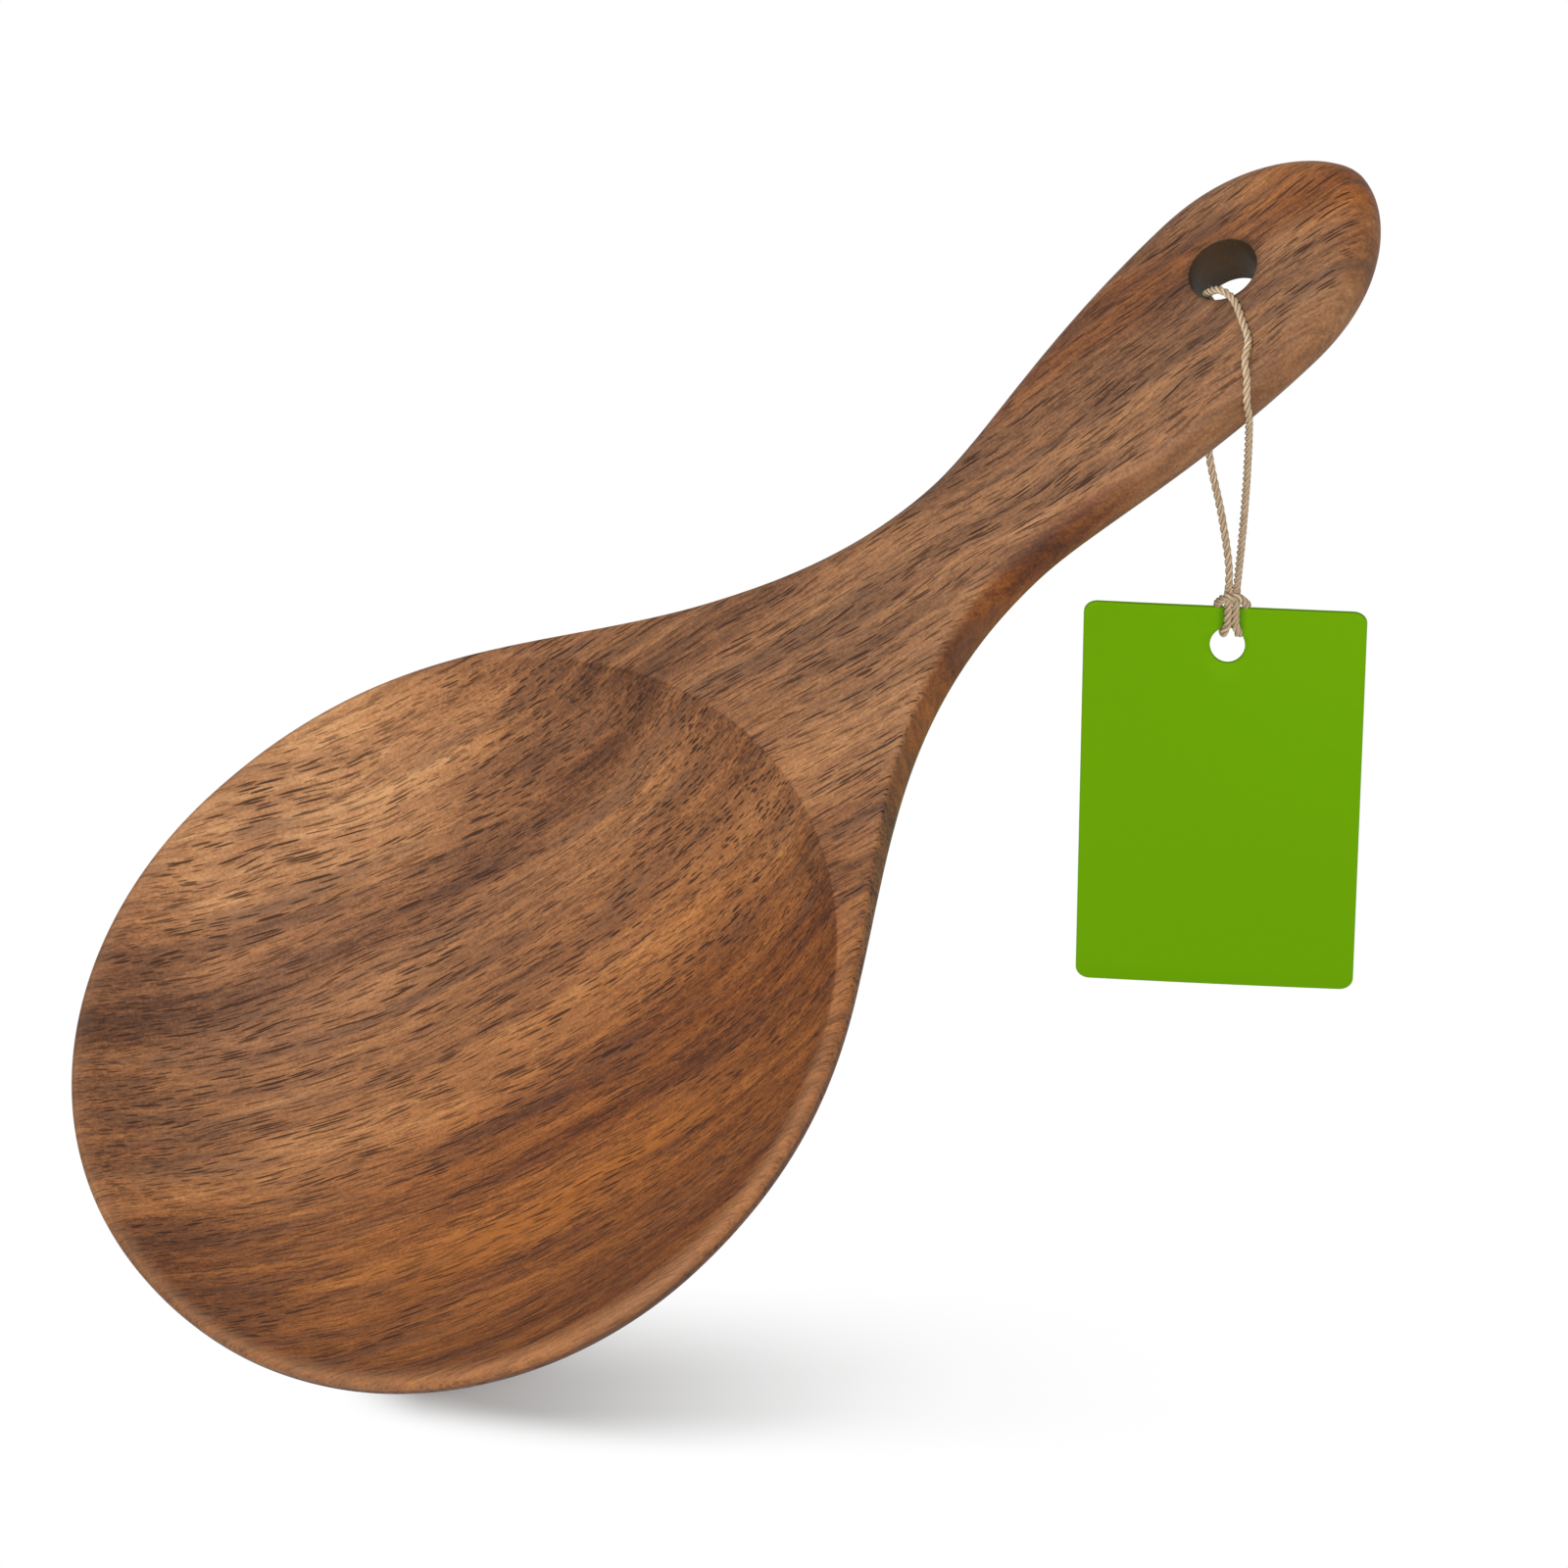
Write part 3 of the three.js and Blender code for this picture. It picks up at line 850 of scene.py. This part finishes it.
class Finish:
    """The nodes of one material or of the world."""

    def __init__(self, owner):
        owner.use_nodes = True
        self.owner = owner
        self.tree = owner.node_tree
        self.tree.nodes.clear()

    def node(self, kind, settings=None, sockets=None, output=0):
        """Adds a node with its settings and its sockets' values or links, and gives one output."""
        node = self.tree.nodes.new(kind)
        for name, value in (settings or {}).items():
            if name == "stops":
                self.set_stops(node.color_ramp, value)
            else:
                setattr(node, name, value)
        for name, value in (sockets or {}).items():
            if isinstance(value, Shade):
                self.tree.links.new(value.socket, node.inputs[name])
            else:
                node.inputs[name].default_value = value
        return Shade(self, node.outputs[output]) if node.outputs else node

    def set_stops(self, ramp, stops):
        while len(ramp.elements) < len(stops):
            ramp.elements.new(1.0)
        for element, (position, tint) in zip(ramp.elements, stops):
            element.position = position
            element.color = tint

    def math(self, operation, *values):
        return self.node("ShaderNodeMath", {"operation": operation}, dict(enumerate(values)))

    def most(self, first, *others):
        """The greatest of the values."""
        for other in others:
            first = self.math("MAXIMUM", first, other)
        return first

    def smooth(self, value, low, high, start=0.0, end=1.0):
        """Goes smoothly from start to end as the value goes from low to high."""
        settings = {"interpolation_type": "SMOOTHSTEP"}
        sockets = {"Value": value, "From Min": low, "From Max": high, "To Min": start, "To Max": end}
        return self.node("ShaderNodeMapRange", settings, sockets)

    def blend(self, share, first, second):
        """Mixes two colours."""
        sockets = {0: share, 6: first, 7: second}
        return self.node("ShaderNodeMix", {"data_type": "RGBA"}, sockets, output=2)

    def vector(self, x, y, z):
        return self.node("ShaderNodeCombineXYZ", None, {"X": x, "Y": y, "Z": z})

    def noise(self, place, scale=1.0, detail=2.0, rough=0.5):
        sockets = {"Vector": place, "Scale": scale, "Detail": detail, "Roughness": rough}
        return self.node("ShaderNodeTexNoise", None, sockets)

    def reach(self, place, direction):
        """How far a place lies in one direction, in millimetres."""
        sockets = {0: place, 1: tuple(np.array(direction) / MM)}
        settings = {"operation": "DOT_PRODUCT"}
        return self.node("ShaderNodeVectorMath", settings, sockets, output="Value")

    def cells(self, place):
        """The distance to the nearest of scattered points."""
        sockets = {"Vector": place, "Scale": 1.0}
        return self.node("ShaderNodeTexVoronoi", None, sockets, output="Distance")

    def bump(self, height, strength, distance):
        sockets = {"Height": height, "Strength": strength, "Distance": distance}
        return self.node("ShaderNodeBump", None, sockets)

    def surface(self, **sockets):
        """A principled surface, with its sockets' names written with underscores."""
        values = {name.replace("_", " "): value for name, value in sockets.items()}
        shader = self.node("ShaderNodeBsdfPrincipled", None, values)
        self.node("ShaderNodeOutputMaterial", None, {"Surface": shader})
        return self.owner


def colour(red, green, blue):
    """A colour as a picture gives it, from 0 to 255, as light."""

    def light(value):
        share = value / 255
        return share / 12.92 if share <= 0.04045 else ((share + 0.055) / 1.055) ** 2.4

    return (light(red), light(green), light(blue), 1.0)


# Wood: the grain runs at a slant along the spoon, and the growth layers are tilted against it

GRAIN_SLANT = 22.0
GRAIN_WANDER = 7.0
GRAIN_BEND = (0.07, -0.00095)
BEND_FROM = 20.0
GRAIN_DEPTH = 0.3
LAYER_TILT = 0.5
LAYER_DIP = 0.12
STREAK_TILT = 0.12
SPECKS_PER_METRE = 2400.0
PORE_DEPTH = 0.34
PORE_DIP = 0.14
PORE_WAVER = 1.8
PORE_SHARE = 0.9
FINE_PORE_SHARE = 0.6
PURPLE_SHARE = 0.4
CROWDED_SHARE = 0.15
UNDER_RIM_SHARE = 0.65

COOL_STOPS = [
    (0.0, colour(60, 37, 24)),
    (0.25, colour(94, 62, 41)),
    (0.5, colour(130, 90, 60)),
    (0.75, colour(162, 117, 80)),
    (1.0, colour(192, 148, 107)),
]
WARM_STOPS = [
    (0.0, colour(60, 29, 12)),
    (0.25, colour(96, 50, 20)),
    (0.5, colour(131, 76, 34)),
    (0.75, colour(162, 100, 48)),
    (1.0, colour(186, 128, 70)),
]
PURPLE_GREY = colour(90, 66, 52)
ORANGE = colour(168, 100, 38)
# Pale tan painted on the flat land of the lip, standing in for the light it catches
LIP_LIGHT_TAN = colour(176, 134, 98)
# Dark brown painted as the shade under the rim
EDGE_SHADE = colour(70, 50, 36)
PORE_BROWN = colour(50, 28, 17)
# Dark of the bore: drill scorch, and painted shade inside the hole
SCORCHED_AND_SHADED = colour(56, 43, 24)

# Growth bands by their middle, half width and brightness
GROWTH_BANDS = [(44.0, 5.0, -0.24), (18.0, 10.0, 0.2), (7.0, 4.5, -0.07), (-1.0, 7.0, -0.08)]

# Regions of the wood, and regions where shade is painted: products of smooth steps in one measure each,
# and of regions named before them
REGIONS = {
    "in_bowl": [("along", 118, 78)],
    "in_hollow": [("out", 1.006, 0.996)],
    "crowded": [("clusters", 0.42, 0.66)],
    "bands_show": [("along", 125, 100, 0.25)],
    # Partly painted shade: the bowl's low side is warmer in its wood, and a little darker as painted shade
    "low_side": ["in_bowl", ("layer", 42, -14), ("along", 10, 62, 0.5)],
    "light_patch": ["in_bowl", ("layer", 48, 57), ("along", 4, 26), ("along", 90, 40)],
    "neck_shade": ["in_bowl", ("layer", 38, 47), ("along", 44, 70)],
    "pale_run": [("layer", 18, 26), ("layer", 44, 36), ("along", 62, 40)],
    "orange_layer": [("layer", -15.5, -10.5), ("layer", -5.5, -10.5)],
    "orange_run": ["orange_layer", ("along", 22, 38), ("along", 84, 62)],
    "tip_end": [("along", 26, -8)],
    # Painted shade: the dish's right wall, its wall at the neck and its wall at the tip are darkened
    "right_wall_shade": ["in_hollow", ("aside", -20, -42), ("length", 18, 46)],
    "neck_wall_shade": ["in_hollow", ("out", 0.86, 0.99), ("length", 74, 92)],
    "tip_wall_shade": ["in_hollow", ("out", 0.6, 0.95), ("length", 44, 16)],
    "land": [("out", 0.965, 1.01), ("length", 92, 74), ("above", -2.2, -1)],
    # Painted shade: a dark line just under the bowl's rim, where its side falls away from the light
    "under_rim_shade": ["in_bowl", ("above", -1, -1.7), ("out", 1.004, 1.016)],
    "on_side": [("above", -0.2, -1.5), ("above", -8.6, -7), ("length", 98, 118)],
    # The side wall by the neck: warmer in its wood, and darker as painted shade, with a darker painted
    # band just under the front edge
    "neck_side": ["on_side", ("length", 166, 146)],
    "side_shade": ["neck_side", ("above", -5.4, -3.6), ("length", 118, 136)],
    "far_edge": [("layer", 46, 52), ("layer", 62, 56), ("along", 96, 126)],
    "handle": [("along", 100, 130)],
    "hole_end": [("length", 186, 198)],
    "end_grain": [("length", 194, 206)],
}

# How much lighter the noises and the regions make the wood; the darkening of the dish's walls, of the side
# wall by the neck and of the bowl's low side is painted shade
BASE_TONE = 0.57
NOISE_TONE = {"broad": 0.5, "streaks": 0.8, "lines": 0.6, "fibre": 0.5, "speck": 0.5}
REGION_TONE = {
    "light_patch": 0.24, "pale_run": 0.08, "low_side": -0.05, "neck_shade": -0.1, "tip_end": -0.15,
    "right_wall_shade": -0.1, "neck_wall_shade": -0.13, "tip_wall_shade": -0.09, "crowded": -0.09,
    "neck_side": -0.12, "side_shade": -0.16, "far_edge": -0.1, "handle": -0.01, "hole_end": 0.12,
}

# How much warmer the streaks and the regions make it; the warmth on the dish's right wall is part of its
# painted shade
BASE_WARMTH = 0.06
STREAK_WARMTH = 0.7
REGION_WARMTH = {
    "low_side": 1.0, "in_bowl": 0.25, "right_wall_shade": 0.8,
    "neck_side": 0.85, "far_edge": 0.6, "end_grain": 0.6,
}


class Grain:
    """Places in the wood: along the grain, in its layers, on the spoon and out from the dish's middle."""

    def __init__(self, wood):
        self.wood = wood
        self.place = wood.node("ShaderNodeTexCoord", output="Object")
        slant = math.radians(GRAIN_SLANT)
        with_grain = ALONG * math.cos(slant) - ASIDE * math.sin(slant)
        crosswise = ALONG * math.sin(slant) + ASIDE * math.cos(slant)
        self.along = wood.reach(self.place, with_grain) + GRIP_AT * math.cos(slant)
        self.above = wood.reach(self.place, FRONT) - FACE_ABOVE_GRIP
        self.length = wood.reach(self.place, ALONG) + GRIP_AT
        self.aside = wood.reach(self.place, ASIDE)
        straight_across = wood.reach(self.place, crosswise) + GRIP_AT * math.sin(slant)
        wander = self.noise(straight_across, run=0.02, width=0.035, detail=2.0, rough=0.5)
        across = straight_across + (wander - 0.5) * GRAIN_WANDER
        past = self.along - BEND_FROM
        self.layer = across - self.above * LAYER_TILT - self.along * LAYER_DIP
        self.bent = across + past * GRAIN_BEND[0] + past * past * GRAIN_BEND[1]
        self.sheet = self.bent - self.above * STREAK_TILT
        self.clusters = self.noise(self.layer, run=0.05, width=0.16, detail=2.0)
        self.out = self.out_of_hollow()

    def noise(self, across, run, width, detail=3.0, rough=0.6):
        """Noise that is drawn out along the grain, by how fast it changes along it and across it."""
        place = self.wood.vector(across * width, self.along * run, self.above * (width * GRAIN_DEPTH))
        return self.wood.noise(place, detail=detail, rough=rough)

    def out_of_hollow(self):
        """0 in the middle of the dish and 1 at its edge, as it is carved."""
        out_along = abs(self.length - HOLLOW_AT) / (HOLLOW_LENGTH / 2)
        out_aside = abs(self.aside - BOWL_ASIDE - HOLLOW_ASIDE) / (HOLLOW_WIDTH / 2)
        towards_tip = self.wood.math("LESS_THAN", self.length, HOLLOW_AT)
        power = towards_tip * (HOLLOW_TIP_SQUARENESS - 2) + 2
        return (out_along**power + out_aside**power) ** (1 / power)


def wood_regions(grain):
    """A mask from 0 to 1 for each region."""
    masks = {}
    for name, factors in REGIONS.items():
        steps = []
        for factor in factors:
            if isinstance(factor, str):
                steps.append(masks[factor])
            else:
                measure, *places = factor
                steps.append(grain.wood.smooth(getattr(grain, measure), *places))
        masks[name] = math.prod(steps[1:], start=steps[0])
    return masks


def weighted(total, masks, weights):
    """Adds each mask to the total by its weight."""
    for name, weight in weights.items():
        total = total + masks[name] * weight
    return total


def open_pores(grain):
    """Dark dashes along the grain, and dots where the grain is cut across."""
    wood = grain.wood
    waver = grain.noise(grain.bent, run=0.06, width=0.22, detail=1.0)
    across = grain.bent + (waver - 0.5) * PORE_WAVER

    def vessels(run, width, core, rim):
        depth = (grain.above + grain.along * PORE_DIP) * (width * PORE_DEPTH)
        cell = wood.cells(wood.vector(grain.along * run, across * width, depth))
        return wood.smooth(cell, core, rim, 1.0, 0.0)

    long_pores = vessels(run=0.09, width=1.6, core=0.18, rim=0.27)
    long_pores = long_pores * wood.smooth(grain.clusters, 0.36, 0.54, start=0.5)
    short_pores = vessels(run=0.15, width=2.4, core=0.21, rim=0.3)
    short_pores = short_pores * wood.smooth(grain.clusters, 0.38, 0.6, start=0.65)
    fine_pores = vessels(run=0.26, width=4.0, core=0.2, rim=0.33) * FINE_PORE_SHARE
    return wood.most(long_pores, short_pores, fine_pores)


def scorched_and_shaded_bore(grain):
    """How dark the bore is painted, partly as drill scorch and partly as the shade inside the hole: all of
    the bore, and a little round its mouths.
    """
    off_along = grain.length - HOLE_AT - grain.above * HOLE_LEAN_ALONG
    off_aside = grain.aside - HOLE_ASIDE - grain.above * HOLE_LEAN_ASIDE
    from_wall = grain.wood.math("SQRT", off_along * off_along + off_aside * off_aside) - BORE
    inside = grain.wood.smooth(from_wall, 0.02, 0.3, start=0.9, end=0.0)
    halo = grain.wood.smooth(from_wall, 0.2, 1.2, start=0.4, end=0.0)
    return grain.wood.most(inside, halo)


def oiled_wood():
    wood = Finish(bpy.data.materials.new("oiled_wood"))
    grain = Grain(wood)
    where = wood_regions(grain)
    broad = grain.noise(grain.layer, run=0.008, width=0.09)
    streaks = grain.noise(grain.sheet, run=0.014, width=0.45, detail=4.0)
    lines = grain.noise(grain.sheet, run=0.04, width=1.3)
    fibre = grain.noise(grain.bent, run=0.22, width=3.0)
    smoke = grain.noise(grain.sheet, run=0.025, width=0.3)
    speck = wood.noise(grain.place, scale=SPECKS_PER_METRE)

    noises = {"broad": broad, "streaks": streaks, "lines": lines, "fibre": fibre, "speck": speck}
    swings = {name: noise - 0.5 for name, noise in noises.items()}
    tone = weighted(BASE_TONE, swings, NOISE_TONE)
    tone = weighted(tone, where, REGION_TONE)
    for middle, half, brightness in GROWTH_BANDS:
        band = wood.smooth(abs(grain.layer - middle), 0.0, half, start=brightness, end=0.0)
        tone = tone + band * where["bands_show"]
    warmth = weighted(BASE_WARMTH, where, REGION_WARMTH) + swings["streaks"] * STREAK_WARMTH
    warm_share = wood.math("MINIMUM", wood.most(warmth, 0.0), 1.0)
    cool_base = wood.node("ShaderNodeValToRGB", {"stops": COOL_STOPS}, {"Fac": tone})
    warm_base = wood.node("ShaderNodeValToRGB", {"stops": WARM_STOPS}, {"Fac": tone})
    base = wood.blend(warm_share, cool_base, warm_base)

    purple = wood.smooth(smoke, 0.52, 0.68) * (1 - where["low_side"] * 0.8) * PURPLE_SHARE
    base = wood.blend(purple + where["crowded"] * CROWDED_SHARE, base, PURPLE_GREY)
    orange = where["orange_run"] * wood.smooth(streaks, 0.35, 0.6, start=0.25, end=0.65)
    base = wood.blend(orange, base, ORANGE)
    # Painted light: the flat land of the lip is lightened towards a pale tan, as where it catches the
    # light, more on one side
    lip_light = where["land"] * wood.smooth(grain.aside, 30.0, -10.0, start=0.08, end=0.24)
    base = wood.blend(lip_light, base, LIP_LIGHT_TAN)
    pores = open_pores(grain) * (1 - where["land"] * 0.6) * (1 - where["on_side"] * 0.95)
    base = wood.blend(pores * PORE_SHARE, base, PORE_BROWN)
    # Painted shade under the rim
    base = wood.blend(where["under_rim_shade"] * UNDER_RIM_SHARE, base, EDGE_SHADE)
    # Drill scorch and painted shade in and round the hanging hole
    base = wood.blend(scorched_and_shaded_bore(grain), base, SCORCHED_AND_SHADED)

    height = fibre * 0.3 + lines * 0.25 + speck * 0.2 - pores
    return wood.surface(
        Base_Color=base,
        Roughness=0.54 + pores * 0.2 + swings["fibre"] * 0.15,
        Normal=wood.bump(height, strength=0.6, distance=0.00013),
        IOR=1.28,
    )


# Twine and card

TWINE_STOPS = [
    (0.0, colour(96, 72, 50)),
    (0.4, colour(168, 141, 110)),
    (0.7, colour(210, 188, 158)),
    (1.0, colour(242, 230, 210)),
]
CARD_GREEN = colour(108, 164, 4)
PULP_GREEN = colour(98, 152, 6)
# Darker green painted as the twine's shadow on the card
SHADOWED_GREEN = colour(62, 104, 18)


def jute_twine():
    jute = Finish(bpy.data.materials.new("jute_twine"))
    attribute = {"attribute_name": "fibre_place"}
    fibre_place = jute.node("ShaderNodeAttribute", attribute, None, output="Vector")

    def stretched(*scales):
        return jute.node("ShaderNodeVectorMath", {"operation": "MULTIPLY"}, {0: fibre_place, 1: scales})

    strand = jute.noise(stretched(0.55, 9.0, 3.0), detail=4.0, rough=0.65)
    slub = jute.noise(stretched(0.3, 0.6, 1.0))
    around = jute.node("ShaderNodeSeparateXYZ", None, {"Vector": fibre_place}, output="Y")
    # Painted shade: the twine is darker in the grooves between its plies
    from_groove = abs(jute.math("FRACT", around) - 0.5)
    groove_shade = jute.smooth(from_groove, 0.36, 0.18)
    tone = strand * 0.95 + slub * 0.4 - groove_shade * 0.28 - 0.06
    base = jute.node("ShaderNodeValToRGB", {"stops": TWINE_STOPS}, {"Fac": tone})
    return jute.surface(
        Base_Color=base,
        Roughness=0.86,
        Normal=jute.bump(strand, strength=0.7, distance=0.00008),
        IOR=1.35,
    )


def green_card():
    card = Finish(bpy.data.materials.new("green_card"))
    place = card.node("ShaderNodeTexCoord", output="Object")
    pulp = card.noise(place, scale=900.0, detail=3.0)
    sheen = card.noise(place, scale=60.0, detail=2.0)
    shade = card.blend(pulp * 0.1, CARD_GREEN, PULP_GREEN)

    # Painted shadow: darker green on the card beside the strands, above the hole, where the twine shades
    # it
    hole_across, hole_up = (float(axis @ TAG_HOLE) / MM for axis in TAG_AXES.T[:2])
    from_strands = abs(card.reach(place, TAG_AXES[:, 0]) - (hole_across + STRANDS_ASIDE))
    over_hole = card.reach(place, TAG_AXES[:, 1]) - hole_up
    strand_shadow = card.smooth(from_strands, 2.1, 1.0) * card.smooth(over_hole, 1.6, 3.2)
    shade = card.blend(strand_shadow * 0.55, shade, SHADOWED_GREEN)
    return card.surface(
        Base_Color=shade,
        Roughness=0.66 + (sheen - 0.5) * 0.12,
        Normal=card.bump(pulp, strength=0.12, distance=0.00003),
        IOR=1.12,
    )


# Pieces

jute = jute_twine()

loop_line = loop_path()
loop = lay_twine("loop_twine", loop_line, seed=3)
knot = lay_twine("closing_knot", knot_path(), seed=5)
hitch_line = hitch_path()
hitch = lay_twine("tag_hitch", hitch_line, seed=7, swell=HITCH_SWELL)
tag = cut_tag()
for twine_piece in (loop, knot, hitch):
    twine_piece.data.materials.append(jute)
tag.data.materials.append(green_card())

hinge = np.array(joints["bridle_swing"]["pos_m"])
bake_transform(loop)
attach(knot, "bridle")
hitch_bends = [on_tag((0.0, TAG_HOLE_FROM_TOP + over, front_lay)) for over in HITCH_BENDS]
tuple(hitch_bends[0])
tuple(hitch_bends[1])
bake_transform(hitch)
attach(tag, "tag")
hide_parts("twine_hole_turn", "twine_front_strand", "twine_back_strand")
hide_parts("twine_knot")
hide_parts("twine_hitch")
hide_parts("hang_tag")
tuple(loop_line[0])
tuple(hitch_line[0])

spoon = carve_spoon()
spoon.data.materials.clear()
spoon.data.materials.append(oiled_wood())
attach(spoon, "spoon")
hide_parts("wooden_spoon")


# Stage: a white table top under the bowl, whose edge is short of the tag, and soft light

TABLE_DROP = 77.9
TABLE_NEAR = 900.0
TABLE_EDGE = -32.0
# Grey of the table's shadow zone, which deepens the lamps' shadow as painted shadow
TABLE_GREY = (0.58, 0.58, 0.58, 1.0)
SHADE_AWAY = (-98.0, -78.0)
SHADE_LEFT = (-98.0, -86.0)
SHADE_RIGHT = (-92.0, 70.0)
SHADE_FALL = 4.0
SHADE_NEAR = (-133.0, -124.0)
SHADE_FRONT = (-112.0, -102.0)
NEAR_EDGE_SKEW = 0.3
WHITE = (1.0, 1.0, 1.0, 1.0)
AMBIENT = 0.3
LAMPS_AIM = (-50.0, 0.0, -30.0)

# Soft boxes by their name, place, size and power in watts
SOFT_BOXES = [
    ("front_soft_box", (-810.0, -1080.0, 760.0), 700.0, 20.0),
    ("top_soft_box", (-500.0, 350.0, 1200.0), 500.0, 7.0),
]


def white_where_seen(finish):
    """1 where the camera, or a mirror or glass, looks at the surface."""
    rays = ("Is Camera Ray", "Is Glossy Ray", "Is Transmission Ray")
    return finish.most(*(finish.node("ShaderNodeLightPath", output=ray) for ray in rays))


def lay_table():
    """The table keeps the shadow in front of the bowl, on a grey patch that darkens it further as painted
    shadow, and goes over into plain white behind it.
    """
    low, near, far = -TABLE_DROP * MM, -TABLE_NEAR * MM, TABLE_NEAR * MM
    edge = TABLE_EDGE * MM
    corners = [(near, near, low), (edge, near, low), (edge, far, low), (near, far, low)]
    table = add_mesh("table_top", corners, [(0, 1, 2, 3)])
    white = Finish(bpy.data.materials.new("white_table"))
    place = white.node("ShaderNodeTexCoord", output="Object")
    azimuth = math.radians(CAMERA_AZIMUTH)
    away = white.reach(place, (-math.sin(azimuth), math.cos(azimuth), 0.0))
    across = white.reach(place, (math.cos(azimuth), math.sin(azimuth), 0.0))
    shaded = white.smooth(away, *SHADE_AWAY, 1.0, 0.0) * white.smooth(across, *SHADE_LEFT)
    shaded = shaded * white.smooth(across, *SHADE_RIGHT, 1.0, 0.0) ** SHADE_FALL
    shaded = shaded * white.smooth(away, *SHADE_FRONT)
    shaded = shaded * white.smooth(away + across * NEAR_EDGE_SKEW, *SHADE_NEAR)
    share = white_where_seen(white) * (1 - shaded)
    matt = white.node("ShaderNodeBsdfDiffuse", None, {"Color": TABLE_GREY})
    bright = white.node("ShaderNodeEmission", None, {"Color": WHITE, "Strength": 1.0})
    top = white.node("ShaderNodeMixShader", None, {0: share, 1: matt, 2: bright})
    white.node("ShaderNodeOutputMaterial", None, {"Surface": top})
    table.data.materials.append(white.owner)


def light_room():
    world = bpy.data.worlds.new("studio")
    scene.world = world
    room = Finish(world)
    soft = room.node("ShaderNodeBackground", None, {"Color": WHITE, "Strength": AMBIENT})
    white = room.node("ShaderNodeBackground", None, {"Color": WHITE, "Strength": 1.0})
    either = room.node("ShaderNodeMixShader", None, {0: white_where_seen(room), 1: soft, 2: white})
    room.node("ShaderNodeOutputWorld", None, {"Surface": either})


def add_soft_box(name, place, size, watts):
    data = bpy.data.lights.new(name, "AREA")
    data.shape = "DISK"
    data.size = size * MM
    data.energy = watts
    lamp = put(name, data)
    lamp.location = MM * Vector(place)
    aim = Vector(LAMPS_AIM) - Vector(place)
    lamp.rotation_euler = aim.to_track_quat("-Z", "Y").to_euler()


lay_table()
light_room()
for soft_box in SOFT_BOXES:
    add_soft_box(*soft_box)
scene.view_settings.view_transform = "Standard"
